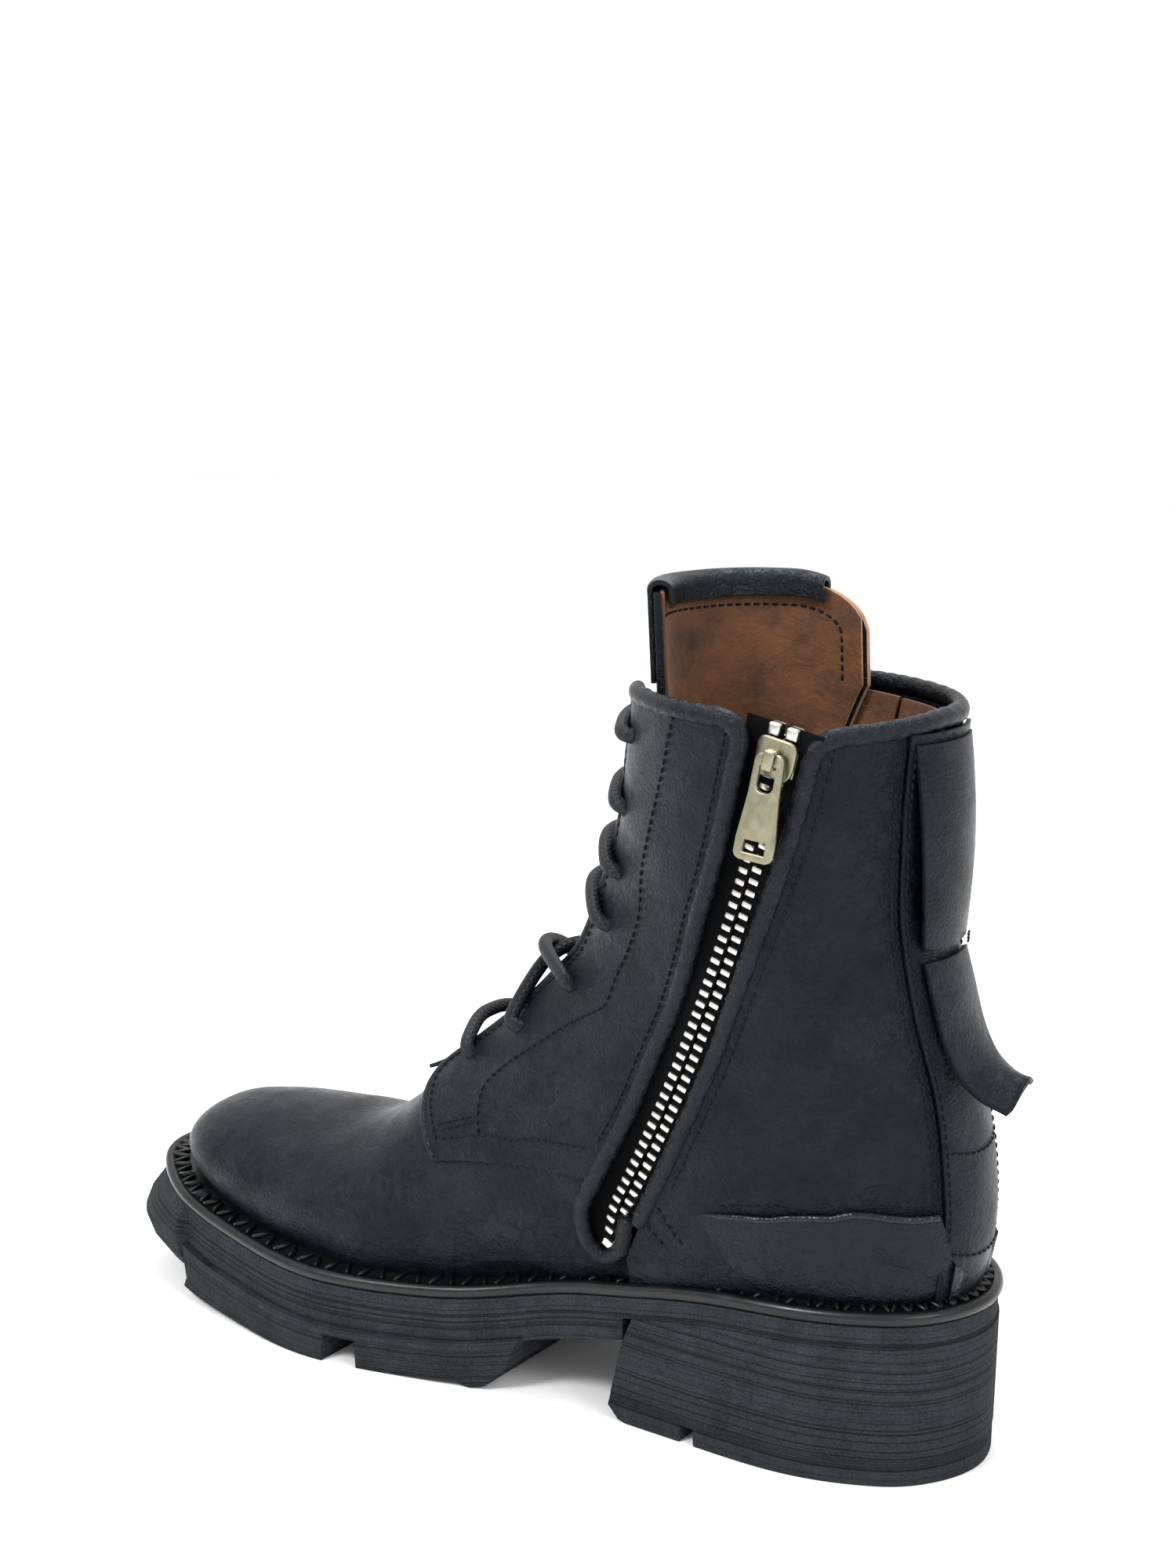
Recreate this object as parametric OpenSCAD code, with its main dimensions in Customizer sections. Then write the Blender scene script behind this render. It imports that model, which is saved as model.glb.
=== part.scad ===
// Right-foot black leather lace-up ankle boot with a medial side zip and a lugged block-heel sole.
// X runs toe (-X) to heel (+X), -Y is the medial zip side, +Z is up, and the ground is Z = 0.
// The origin is the centre of the heel's ground face.

/* [Leather] */
// Thickness of the outer leather panels
leather = 1.3; // [1.0:0.1:1.5]
// Thickness of the overlay panels at the heel
overlay = 1.2; // [0.8:0.1:1.4]
// Thickness of the lining leather
lining = 1.0; // [0.7:0.1:1.1]
// Thickness of the tongue's outer leather
tongue_t = 1.8; // [1.2:0.1:2.0]

/* [Sole] */
// Height of the welt above the sole's top line
welt_h = 3.8; // [3.0:0.1:3.9]
// Thickness of the forefoot sole
fore_h = 23.7; // [20:0.1:23.7]
// Depth of the notches between the tread lugs
notch_h = 6; // [3:0.5:9]
// Number of raised welt stitches
welt_stitches = 112; // [60:2:140]

/* [Trim] */
// Radius of the lace cord
lace_r = 1.8; // [1.2:0.1:1.9]
// Radius of the lace holes
hole_r = 2.8; // [2.1:0.1:3.0]
// Radius of the piping beside the zip
piping_r = 2.2; // [1.6:0.1:2.3]
// Radius of the rolled collar binding
collar_r = 2.5; // [2.0:0.1:2.8]

/* [Zip] */
// Pitch of the teeth on one side of the zip
tooth_pitch = 3.2; // [2.6:0.1:4.0]
// Length of a tooth along the zip
tooth_t = 1.45; // [1.0:0.05:1.5]
// Width of the pull tab
pull_w = 9.6; // [8:0.2:10.4]
// Length of the pull tab below its pivot
pull_l = 25; // [18:1:28]
// Radius of the pull tab's pivot bar
pivot_r = 0.9; // [0.7:0.05:1.0]
// Radial clearance between the pivot bar and its bore
pivot_gap = 0.05; // [0.02:0.01:0.1]

/* [Hidden] */
$fn = 32;
// Stations of the upper, toe to collar: ridge x, ridge z, lower edge x, lower edge z,
// lower half width medial and lateral, full half width medial and lateral, ridge y.
st = [
  [-222, 38, -222, 37, 0, 0, 0.1, 0.1, -3],
  [-225, 45, -218, 36.5, 12, 11, 15, 14, -3],
  [-222, 52, -208, 34.8, 23, 21, 25, 24, -3],
  [-213, 57, -195, 33, 30, 28, 32, 31, -3],
  [-197, 60, -178, 30.6, 35, 34, 37, 36, -3],
  [-177, 60.5, -157, 29, 39, 39, 41, 41, -3],
  [-155, 62, -134, 28.6, 39, 41, 42, 43, -3],
  [-137, 73, -110, 29.6, 34, 39, 39, 42, -2],
  [-124, 88, -84, 34, 28, 35, 36, 40, -1],
  [-112, 98, -56, 40.4, 29, 31, 36, 39, 0],
  [-101, 107, -28, 45.8, 29.5, 29, 36.5, 38, 0],
  [-92, 115, -2, 48.3, 29, 28, 36.5, 37, 0],
  [-86, 121.5, 18, 49.5, 23.5, 24, 36, 37, 0],
  [-81.5, 127, 31, 50.5, 14, 14, 36, 37, 0],
  [-78, 133, 37.5, 57, 0, 0, 35.5, 36, 0],
  [-72, 145, 38.5, 74, 0, 0, 35, 35, 0],
  [-67.5, 159, 34.5, 98, 0, 0, 35, 34, 0],
  [-64, 172, 27, 122, 0, 0, 36, 34, 0],
  [-62, 184, 22, 147, 0, 0, 36.5, 35, 0],
  [-60.5, 193, 21.5, 173, 0, 0, 37.5, 36, 0],
  [-60, 200, 23, 197, 0, 0, 38.5, 37, 0]
];
top_u = 20;
// Plan outline of the welt, heel back round the lateral side to the toe and home.
edge = [
  [44, 0], [39, 17], [26, 29], [0, 36], [-40, 36], [-75, 38], [-110, 46], [-150, 52], [-185, 46],
  [-213, 32], [-231, 13], [-236, -3], [-231, -19], [-212, -34], [-186, -42], [-150, -48],
  [-110, -41.5], [-75, -33], [-40, -34.5], [0, -35.5], [26, -28], [39, -16]
];
// Height of the sole's top line every 40 mm from x = 60 towards the toe.
deck = [[45.2], [44.8], [42.6], [35], [26.2], [23.8], [26.2], [32.2], [40.5]];
deck_x = 60;
deck_step = 40;
rim_n = 72;

// Zip arc in the plane of the medial side.
arc_c = [-513, 300];
arc_r = 520;
zip_top = -11.3;
zip_end = -27.9;
panel_top = -11.5;
zip_y = -32.8;
tape_t = 0.8;
chain_t = 3.2;
slider_a = -12.2;
pull_y = zip_y - 4.9;
pull_lean = 9;
pull_tilt = 7;
pipe_front = -8.8;
pipe_rear = 7.9;

// Gaps and layer offsets from the master surface, outward positive.
vamp_out = 0;
vamp_in = -leather + 0.1;
panel_in = 0.4;
panel_out = panel_in + leather;
over_in = 2.1;
over_out = over_in + overlay;
line_out = -3;
line_in = line_out - lining;
tongue_out = -4.6;
tongue_in = tongue_out - tongue_t;
hem = 0.965;

function mix(a, b, t) = a + (b - a) * t;
function unit(v) = v / max(norm(v), 0.000001);
function cr(a, b, c, d, t) =
  0.5 * (2 * b + (c - a) * t + (2 * a - 5 * b + 4 * c - d) * t * t + (3 * b - a - 3 * c + d) * t * t * t);
// Point at s = 0 to 1 on the smooth curve through the list.
function at(list, s) =
  let (n = len(list) - 1, x = max(0, min(n - 0.00001, s * n)), i = floor(x))
  cr(list[max(i - 1, 0)], list[i], list[i + 1], list[min(i + 2, n)], x - i);
// The same on a closed loop.
function round_at(list, s) =
  let (n = len(list), x = (s - floor(s)) * n, i = floor(x) % n)
  cr(list[(i + n - 1) % n], list[i], list[(i + 1) % n], list[(i + 2) % n], x - floor(x));
function row(u) = at(st, u / top_u);
function fold(v) = v < -1 ? v + 2 : v > 1 ? v - 2 : v;
// Point of the master surface: u runs toe to collar, v is -1 medial edge, 0 ridge, 1 lateral edge.
function surf(u, v) =
  let (
    q = row(u),
    w = v < 0 ? q[6] : q[7],
    yb = v < 0 ? q[4] : q[5],
    e = 180 - asin(max(0, min(1, yb / w))),
    p = abs(v) * e,
    k = (1 - cos(p)) / (1 - cos(e))
  )
  [mix(q[0], q[2], k), sign(v) * w * sin(p) + q[8] * (1 - k), mix(q[1], q[3], k)];
function normal(u, v) =
  let (
    e = 0.02,
    a = surf(u + e, fold(v)) - surf(u - e, fold(v)),
    b = surf(u, fold(v + e)) - surf(u, fold(v - e))
  )
  unit(cross(a, b));
// Point at surface coordinates p = [u, v], moved out by o.
function skin(p, o) = surf(p[0], fold(p[1])) + o * normal(p[0], p[1]);
function side_of(u, x, z) =
  let (q = row(u))
  (q[2] - q[0]) * (z - q[1]) - (q[3] - q[1]) * (x - q[0]);
function find_u(x, z, lo, hi, n) =
  let (m = (lo + hi) / 2)
  n == 0 ? m : side_of(m, x, z) > 0 ? find_u(x, z, m, hi, n - 1) : find_u(x, z, lo, m, n - 1);
// Surface coordinates of the point seen at x, z on one side.
function seen(x, z, side) =
  let (
    u = find_u(x, z, 0, top_u, 14),
    q = row(u),
    d = [q[2] - q[0], q[3] - q[1]],
    k = max(0, min(1, (d * [x - q[0], z - q[1]]) / (d * d))),
    w = side < 0 ? q[6] : q[7],
    yb = side < 0 ? q[4] : q[5],
    e = 180 - asin(max(0, min(1, yb / w)))
  )
  [u, side * acos(1 - k * (1 - cos(e))) / e];
function on_arc(a, r) = [arc_c[0] + r * cos(a), arc_c[1] + r * sin(a)];
// Surface coordinates down the zip at a distance d from its centre line.
function zip_line(d, side, from, to, n) =
  [for (i = [0:n]) let (p = on_arc(mix(from, to, i / n), arc_r + d)) seen(p[0], p[1], side)];
// Closed rings of a panel between two curves in surface coordinates.
function panel(a, b, n, m, lo, hi) = [
  for (i = [0:n])
    let (p = at(a, i / n), q = at(b, i / n))
    concat(
      [for (j = [0:m]) skin(mix(p, q, j / m), hi)],
      [for (j = [m:-1:0]) skin(mix(p, q, j / m), lo)]
    )
];
function flat(list) = [for (a = list) for (b = a) b];
function volume(pts, tris) =
  [for (t = tris) cross(pts[t[0]], pts[t[1]]) * pts[t[2]]] * [for (t = tris) 1];
function loft_tris(n, c) = concat(
  [for (i = [0:n - 2]) for (j = [0:c - 1]) [i * c + j, i * c + (j + 1) % c, (i + 1) * c + j]],
  [for (i = [0:n - 2]) for (j = [0:c - 1])
    [i * c + (j + 1) % c, (i + 1) * c + (j + 1) % c, (i + 1) * c + j]],
  [for (j = [0:c / 2 - 2]) [j, c - 1 - j, j + 1]],
  [for (j = [0:c / 2 - 2]) [j + 1, c - 1 - j, c - 2 - j]],
  [for (j = [0:c / 2 - 2]) [(n - 1) * c + j, (n - 1) * c + j + 1, n * c - 1 - j]],
  [for (j = [0:c / 2 - 2]) [(n - 1) * c + j + 1, n * c - 2 - j, n * c - 1 - j]]
);
module loft(rings) {
  pts = flat(rings);
  tris = loft_tris(len(rings), len(rings[0]));
  good = volume(pts, tris) < 0 ? tris : [for (t = tris) [t[0], t[2], t[1]]];
  polyhedron(points = pts, faces = good);
}
// Rings of a round cord through a list of points.
function cord(path, r, c) =
  let (
    n = len(path) - 1,
    dirs = [for (i = [0:n]) unit(path[min(i + 1, n)] - path[max(i - 1, 0)])],
    ups = carry(dirs, unit(cross(dirs[0], [0.31, 0.87, 0.39])), 0)
  )
  [for (i = [0:n]) let (a = ups[i], b = cross(dirs[i], a))
    [for (j = [0:c - 1]) path[i] + r * (a * cos(j * 360 / c) + b * sin(j * 360 / c))]];
function carry(dirs, up, i) =
  let (a = unit(up - dirs[i] * (up * dirs[i])))
  i == len(dirs) - 1 ? [a] : concat([a], carry(dirs, a, i + 1));
function smooth(list, n) = [for (i = [0:n]) at(list, i / n)];

// Height of the sole's top line at x.
function top_z(x) = at(deck, (deck_x - x) / deck_step / (len(deck) - 1))[0];
function rim(s, d) =
  let (t = unit(round_at(edge, s + 0.004) - round_at(edge, s - 0.004)))
  round_at(edge, s) + d * [-t[1], t[0]];
module plan(d) {
  polygon([for (i = [0:rim_n - 1]) rim(i / rim_n, d)]);
}
module side_cut(points) {
  rotate([90, 0, 0])
    linear_extrude(140, center = true)
      polygon(points);
}
function deck_line(from, to, n, h) =
  [for (i = [0:n]) let (x = mix(from, to, i / n)) [x, top_z(x) + h]];
// Layer of the sole that follows its top line, inset d from the outline.
module layer(d, lo, hi, from, to) {
  intersection() {
    linear_extrude(90)
      plan(d);
    side_cut(concat(deck_line(from, to, 26, hi), deck_line(to, from, 26, lo)));
  }
}

heel_h = 8.2;
seat_t = 6;
breast_x = -49.2;
waist_z = 24.7;
mid_h = 13.5;
lug_out = 1.2;
lug_from = -210;
lug_to = -84.5;
function lug_z(x) = max(0, 0.55 * (top_z(x) - fore_h));
// Slice of the toe bumper at height z, moved forward by d.
module toe_slice(z, d, inset) {
  translate([0, 0, z])
    linear_extrude(0.2)
      intersection() {
        translate([-d, 0])
          plan(inset);
        translate([-300, -60])
          square([91, 120]);
      }
}

module outsole() {
  color("#33373a")
    difference() {
      union() {
        intersection() {
          linear_extrude(90)
            plan(0);
          side_cut(concat(
            deck_line(58, -244, 28, 0),
            deck_line(-244, -62, 18, -mid_h),
            [[breast_x, waist_z]],
            deck_line(breast_x, 58, 8, -seat_t)
          ));
        }
        intersection() {
          linear_extrude(90)
            plan(-lug_out);
          side_cut(concat(
            deck_line(lug_to, lug_from, 12, 0.3 - mid_h),
            [for (i = [0:10]) let (x = mix(lug_from, -97, i / 10)) [x, lug_z(x)]],
            [[-91, 3.5]]
          ));
        }
        intersection() {
          hull() {
            toe_slice(31.5, 0.5, 0.5);
            toe_slice(21, 8.5, 0);
            toe_slice(8.6, 1, 1.5);
          }
          side_cut(concat(deck_line(-200, -255, 12, -0.3), [[-255, 0], [-200, 0]]));
        }
      }
      translate([-144, -60, -1])
        cube([12, 120, notch_h + 2.5]);
      for (x = [-182, -164, -116])
        translate([x, -26, -1])
          cube([4, 52, 5]);
    }
}
module heel_block() {
  color("#33373a")
    intersection() {
      linear_extrude(90)
        plan(0.4);
      side_cut(concat(
        [[58, heel_h + 0.1]],
        deck_line(58, breast_x + 3.4, 8, -seat_t - 0.1),
        [[breast_x + 0.2, waist_z - 0.4], [breast_x - 3.6, heel_h + 0.1]]
      ));
    }
}
module heel_top_lift() {
  color("#2e3133")
    difference() {
      intersection() {
        linear_extrude(heel_h)
          plan(0.6);
        side_cut([
          [58, -1],
          [58, 20],
          [breast_x - 3.6, 20],
          [breast_x - 3.6, heel_h],
          [breast_x - 4.6, 3.5],
          [breast_x + 0.6, -1]
        ]);
      }
      translate([-30, -60, -1])
        cube([5, 120, 6]);
    }
}
module welt() {
  color("#17181a")
    intersection() {
      difference() {
        linear_extrude(90)
          plan(0);
        translate([0, 0, -1])
          linear_extrude(92)
            plan(6.6);
      }
      side_cut(concat(deck_line(58, -246, 30, welt_h), deck_line(-246, 58, 30, 0.1)));
    }
}
module welt_stitching() {
  color("#1d1e20")
    for (i = [0:welt_stitches - 1]) {
      s = i / welt_stitches;
      p = rim(s, 3.3);
      q = rim(s, 4.3) - p;
      slope = atan((top_z(p[0] + 2) - top_z(p[0] - 2)) / 4);
      translate([p[0], p[1], top_z(p[0]) + welt_h + 0.62])
        rotate([0, -slope, 0])
          rotate([0, 0, atan2(q[1], q[0]) + (i % 2 == 0 ? 22 : -22)])
            cube([5.4, 0.9, 0.9], center = true);
    }
}
module shank() {
  color("#8c9094")
    intersection() {
      translate([-112, -7, 0])
        cube([92, 14, 90]);
      side_cut(concat(deck_line(-20, -112, 12, 1.6), deck_line(-112, -20, 12, 0.3)));
    }
}
module cork_filler() {
  color("#a8794d")
    layer(8.2, 1.8, 3.1, 54, -240);
}
module insole_board() {
  color("#b79a75")
    layer(13.4, 3.3, 5.1, 54, -214);
}
module footbed_sock() {
  color("#96602f")
    layer(14.6, 5.3, 7, 54, -209);
}

// Rear limit of the vamp at even steps from its medial edge over the throat to its lateral edge.
vamp_end = [[9.1], [9.4], [10], [8.9], [8.3], [7.6], [8.3], [8.9], [10], [9.4], [9.1]];
// The same for the vamp lining, which stops short of the shaft lining.
lining_end = [[8.3], [8.5], [8.7], [8.2], [7.7], [7], [7.7], [8.2], [8.7], [8.5], [8.3]];
function vamp_rings(n, m, lo, hi, end, fore) = [
  for (i = [0:n])
    concat(
      [for (j = [0:m]) skin([mix(fore, at(end, j / m)[0], i / n), mix(-hem, hem, j / m)], hi)],
      [for (j = [m:-1:0]) skin([mix(fore, at(end, j / m)[0], i / n), mix(-hem, hem, j / m)], lo)]
    )
];
module vamp() {
  color("#24272c")
    loft(vamp_rings(18, 20, vamp_in, vamp_out, vamp_end, 0.1));
}
module toe_puff() {
  color("#c9bda6")
    loft([for (i = [0:8]) concat(
      [for (j = [0:16]) skin([mix(0.3, 3.4, i / 8), mix(-hem, hem, j / 16)], -1.7)],
      [for (j = [16:-1:0]) skin([mix(0.3, 3.4, i / 8), mix(-hem, hem, j / 16)], -2.6)]
    )]);
}
module vamp_lining() {
  color("#96602f")
    loft(vamp_rings(14, 16, line_in, line_out, lining_end, 0.5));
}

// Front edge of a facing from the collar down to its foot, and the corner under it.
face_edge = [[20, 0.13], [18.6, 0.13], [17.2, 0.13], [15.8, 0.13], [14.4, 0.135], [13, 0.14],
  [11.6, 0.15], [10.2, 0.165], [9, 0.185], [8.1, 0.2], [7.8, 0.3], [7.8, 0.54]];
function mirror_v(list) = [for (p = list) [p[0], -p[1]]];
zip_bottom_front = -26.6;
zip_bottom_rear = -28.2;
// Surface coordinates of the lace holes, top to bottom.
hole_uv = [[18.85, 0.215], [17.2, 0.2], [15.95, 0.205], [15, 0.21], [12.6, 0.225], [10.2, 0.25],
  [8.86, 0.24]];
module lace_bores(side) {
  for (h = hole_uv) {
    n = normal(h[0], side * h[1]);
    translate(skin([h[0], side * h[1]], 0))
      rotate([0, acos(n[2]), atan2(n[1], n[0])])
        cylinder(r = hole_r, h = 12, center = true);
  }
}
module medial_front_quarter() {
  color("#24272c")
    difference() {
      loft(panel(mirror_v(face_edge), zip_line(-11.9, -1, panel_top, zip_bottom_front, 12),
        22, 10, panel_in, panel_out));
      lace_bores(-1);
    }
}
module lateral_front_quarter() {
  color("#24272c")
    difference() {
      loft(panel(face_edge, zip_line(-1, 1, panel_top, zip_bottom_front, 12),
        22, 11, panel_in, panel_out));
      lace_bores(1);
    }
}
// Rolled binding along the front edge of a facing.
function binding_point(p, side) = p[1] > 0.21
  ? skin([p[0] - 0.1, side * p[1]], 1.35)
  : skin([p[0], side * (p[1] - 0.017)], 0.9);
module facing_binding(side) {
  color("#1b1d20")
    loft(cord([for (i = [0:26]) binding_point(at(face_edge, i / 26 * 0.97), side)], 1.1, 8));
}
module facing_binding_medial() {
  facing_binding(-1);
}
module facing_binding_lateral() {
  facing_binding(1);
}
rear_edge = [[20, 0.9], [18.5, 0.9], [17, 0.9], [15.5, 0.9], [14.6, 0.9], [14.1, 0.93]];
module medial_rear_quarter() {
  color("#24272c")
    loft(panel(zip_line(11, -1, panel_top, zip_bottom_rear, 12), mirror_v(rear_edge),
      20, 11, panel_in, panel_out));
}
module lateral_rear_quarter() {
  color("#24272c")
    loft(panel(zip_line(0.6, 1, panel_top, zip_bottom_rear, 12), rear_edge, 20, 12, panel_in, panel_out));
}
function cover_top(side) = [for (p = [[-26, 67.5], [-8, 70.8], [8, 73.4], [21, 75]]) seen(p[0], p[1], side)];
cover_low = [[10.6, 0.95], [11.5, 0.95], [12.5, 0.95], [13.4, 0.95], [14.1, 0.862]];
module counter_cover(side) {
  color("#17181b")
    loft(panel(concat(cover_top(side), [[14.84, side * 0.856]]),
      side < 0 ? mirror_v(cover_low) : cover_low,
      16, 6, over_in, over_out));
}
module medial_counter_cover() {
  counter_cover(-1);
}
module lateral_counter_cover() {
  counter_cover(1);
}
module back_strip() {
  color("#24272c")
    loft(panel([[19.9, -0.872], [18, -0.872], [16, -0.872], [14.25, -0.872]],
      [[19.9, -1.128], [18, -1.128], [16, -1.128], [14.25, -1.128]], 24, 8, over_in, over_out));
}
module heel_counter() {
  color("#c9bda6")
    loft(panel([[14.2, -0.62], [14.2, -0.8], [14.2, -1], [14.2, -1.2], [14.2, -1.38]],
      [[16.2, -0.74], [16.4, -0.86], [16.4, -1], [16.4, -1.14], [16.2, -1.26]], 20, 6, -2.5, -0.6));
}

// Shaft lining: behind the facing to the zip, and from the zip round the back to the lateral facing.
line_edge = [[19.9, 0.3], [18, 0.3], [16, 0.3], [14, 0.3], [12, 0.31], [10.4, 0.33], [9.4, 0.4], [9.2, 0.6]];
module medial_front_lining() {
  color("#96602f")
    loft(panel(mirror_v(line_edge), zip_line(-12.4, -1, panel_top, zip_bottom_front, 12),
      18, 7, line_in, line_out));
}
module lateral_front_lining() {
  color("#96602f")
    loft(panel(line_edge, zip_line(0, 1, panel_top, zip_bottom_front, 12), 18, 9, line_in, line_out));
}
module medial_rear_lining() {
  color("#96602f")
    loft(panel(zip_line(12, -1, panel_top, zip_bottom_rear, 12),
      [[19.9, -0.998], [18, -0.998], [16, -0.998], [14.6, -0.998], [14.2, -0.998]], 18, 9, line_in, line_out));
}
module lateral_rear_lining() {
  color("#96602f")
    loft(panel(zip_line(1.4, 1, panel_top, zip_bottom_rear, 12),
      [[19.9, 0.993], [18, 0.993], [16, 0.993], [14.6, 0.993], [14.2, 0.993]], 18, 9, line_in, line_out));
}

// Rolled collar binding above the panels' top edges.
collar_front = [[top_u, -0.13], [top_u, -0.28], [top_u, -0.42], zip_line(-10, -1, panel_top, zip_end, 1)[0]];
rear_corner = zip_line(9.6, -1, panel_top, zip_end, 1)[0];
collar_rear = concat([rear_corner, mix(rear_corner, [top_u, -0.87], 0.5)],
  [for (v = [-0.87:-0.1:-1.88]) [top_u, v]]);
function collar_path(list, n) =
  [for (i = [0:n]) skin(at(list, i / n), 0.6) + [0, 0, collar_r + 0.4]];
module collar_binding_front() {
  color("#1b1d20")
    loft(cord(collar_path(collar_front, 14), collar_r, 8));
}
module collar_binding_rear() {
  color("#1b1d20")
    loft(cord(collar_path(collar_rear, 38), collar_r, 8));
}
// Piping that lies along both sides of the zip, the front one turning under its lower end.
function pipe_run(d, from, to, n) = [for (p = zip_line(d, -1, from, to, n)) skin(p, 0.7)];
module zip_piping_front() {
  foot = [
    for (p = [[-58.6, 62], [-59.2, 55], [-58, 49.5], [-54.5, 46.5], [-50, 48]])
      skin(seen(p[0], p[1], -1), 2.5)
  ];
  color("#1b1d20")
    loft(cord(smooth(concat(pipe_run(pipe_front, panel_top, -26.2, 12), foot), 44), piping_r, 8));
}
module zip_piping_rear() {
  color("#1b1d20")
    loft(cord(pipe_run(pipe_rear, panel_top, -27.3, 36), piping_r, 8));
}

// Strap sewn down the back seam, loose at its curled lower end.
strap_path = [[27.4, 193], [29, 180], [29.8, 166], [29.4, 152], [28.6, 141]];
tail_path = [[29.4, 138.2], [32.4, 130], [36, 119], [40.6, 110], [46, 106], [52, 104.5]];
strap_w = [15.5, 15.2, 14.6, 13.4, 12];
tail_w = [12, 12.6, 13, 13, 12, 9];
strap_t = 1.5;
function ribbon(path, half, n, m, t, flat_top) = [
  for (i = [0:n])
    let (
      p = at(path, i / n),
      d = unit(at(path, min(1, i / n + 0.02)) - at(path, max(0, i / n - 0.02))),
      o = [-d[1], d[0]] * t,
      h = at([for (w = half) [w]], i / n)[0],
      k = flat_top * max(0, 1 - 3 * i / n)
    )
    concat(
      [for (j = [0:m]) let (y = mix(-h, h, j / m), s = (1 - k) * y * y / 62) [p[0] - s, y, p[1]]],
      [for (j = [m:-1:0]) let (y = mix(-h, h, j / m), s = (1 - k) * y * y / 62) [p[0] - s - o[0], y, p[1] - o[1]]]
    )
];
module back_strap() {
  color("#202328")
    loft(ribbon(strap_path, strap_w, 18, 10, -strap_t, 0));
}
module strap_tail() {
  color("#202328")
    loft(ribbon(tail_path, tail_w, 20, 10, -strap_t, 1));
}
module strap_tacks() {
  color("#101113")
    for (y = [-13.6, 13.6])
      translate([24.9, y, 141])
        rotate([90, 0, 0])
          cylinder(r = 0.7, h = 2.2, center = true, $fn = 16);
}

// Tongue, which stands above the collar and wraps further round on the lateral side.
tongue_left = [[7.7, 0.19], [9, 0.2], [11, 0.2], [13, 0.2], [15, 0.21], [17, 0.22], [19, 0.225], [20, 0.225]];
tongue_right = [[7.7, 0.19], [9, 0.2], [11, 0.21], [13, 0.23], [15, 0.28], [17, 0.36], [19, 0.46], [20, 0.5]];
tongue_rise = 26;
function stand(u, v, o, h) = skin([min(u, top_u), v], o) + [-0.06, 0, 1] * h * max(0, u - top_u);
function tongue_h(t) = tongue_rise - 16 * max(0, t - 0.72) * max(0, t - 0.72) / 0.0784;
function tongue_rings(n, m, lo, hi, inset) = concat(
  [for (i = [0:n])
    let (a = at(mirror_v(tongue_left), i / n), b = at(tongue_right, i / n))
    concat(
      [for (j = [0:m]) skin(mix(a, b, mix(inset, 1 - inset, j / m)), hi)],
      [for (j = [m:-1:0]) skin(mix(a, b, mix(inset, 1 - inset, j / m)), lo)]
    )],
  [for (i = [1:5])
    concat(
      [for (j = [0:m]) let (t = mix(inset, 1 - inset, j / m))
        stand(top_u + i / 5, mix(-0.225, 0.5, t), hi, tongue_h(t))],
      [for (j = [m:-1:0]) let (t = mix(inset, 1 - inset, j / m))
        stand(top_u + i / 5, mix(-0.225, 0.5, t), lo, tongue_h(t))]
    )]
);
module tongue() {
  color("#24272c")
    loft(tongue_rings(16, 10, tongue_in, tongue_out, 0));
}
module tongue_lining() {
  color("#96602f")
    loft(tongue_rings(14, 8, tongue_in - 0.4 - lining, tongue_in - 0.4, 0.02));
}
// Pull strip folded over the top edge of the tongue.
pull_fold = [[-4.2, 6], [-4.2, 16], [-4.2, 24], [-4.2, tongue_rise + 0.6], [-8.6, tongue_rise + 0.6], [-8.6, 22]];
pull_back = [[-3.1, 6], [-3.1, 16], [-3.1, 24], [-3.1, tongue_rise + 1.8], [-9.7, tongue_rise + 1.8], [-9.7, 22]];
module tongue_pull() {
  color("#1b1d20")
    loft([for (i = [0:12]) let (v = mix(-0.2, 0.425, i / 12), drop = tongue_rise - tongue_h((v + 0.225) / 0.725))
      concat(
        [for (p = pull_back) stand(top_u + 1, v, p[0], p[1] - drop)],
        [for (k = [5:-1:0]) stand(top_u + 1, v, pull_fold[k][0], pull_fold[k][1] - drop)]
      )]);
}

// Lace route: heights above the surface where it crosses outside and where it runs inside.
lace_up = panel_out + lace_r + 0.9;
lace_in = -lace_r - 0.2;
function hole(i, side, o) = [hole_uv[i][0], side * hole_uv[i][1], o];
// One pass out of hole a, over the front and into hole b.
function over(a, sa, b, sb, lift) = let (
    p = hole(a, sa, lace_up),
    q = hole(b, sb, lace_up)
  ) [hole(a, sa, lace_in), hole(a, sa, 2.3), p + [0, -sa * 0.028, 0], mix(p, q, 0.32) + [0, 0, 0.4 + lift * 0.7],
     mix(p, q, 0.5) + [0, 0, 0.6 + lift], mix(p, q, 0.68) + [0, 0, 0.4 + lift * 0.7],
     q + [0, -sb * 0.028, 0], hole(b, sb, 2.3), hole(b, sb, lace_in)];
lace_uv = concat(
  [[19.8, -0.25, lace_in]],
  over(1, -1, 1, 1, 0),
  over(3, 1, 3, -1, 0),
  [[13.8, -0.24, lace_in - 0.4]],
  over(4, -1, 5, 1, 3.9),
  over(6, 1, 6, -1, 0),
  over(5, -1, 4, 1, 0),
  [[14.2, 0.24, lace_in - 0.4]],
  over(2, 1, 2, -1, 0),
  [[17.4, -0.24, lace_in - 0.4]],
  over(0, -1, 0, 1, 0),
  [[18.4, 0.25, lace_in], [17.4, 0.27, lace_in]]
);
module lace() {
  color("#17191c")
    loft(cord([for (p = lace_uv) skin([p[0], p[1]], p[2])], lace_r, 8));
}

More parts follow.
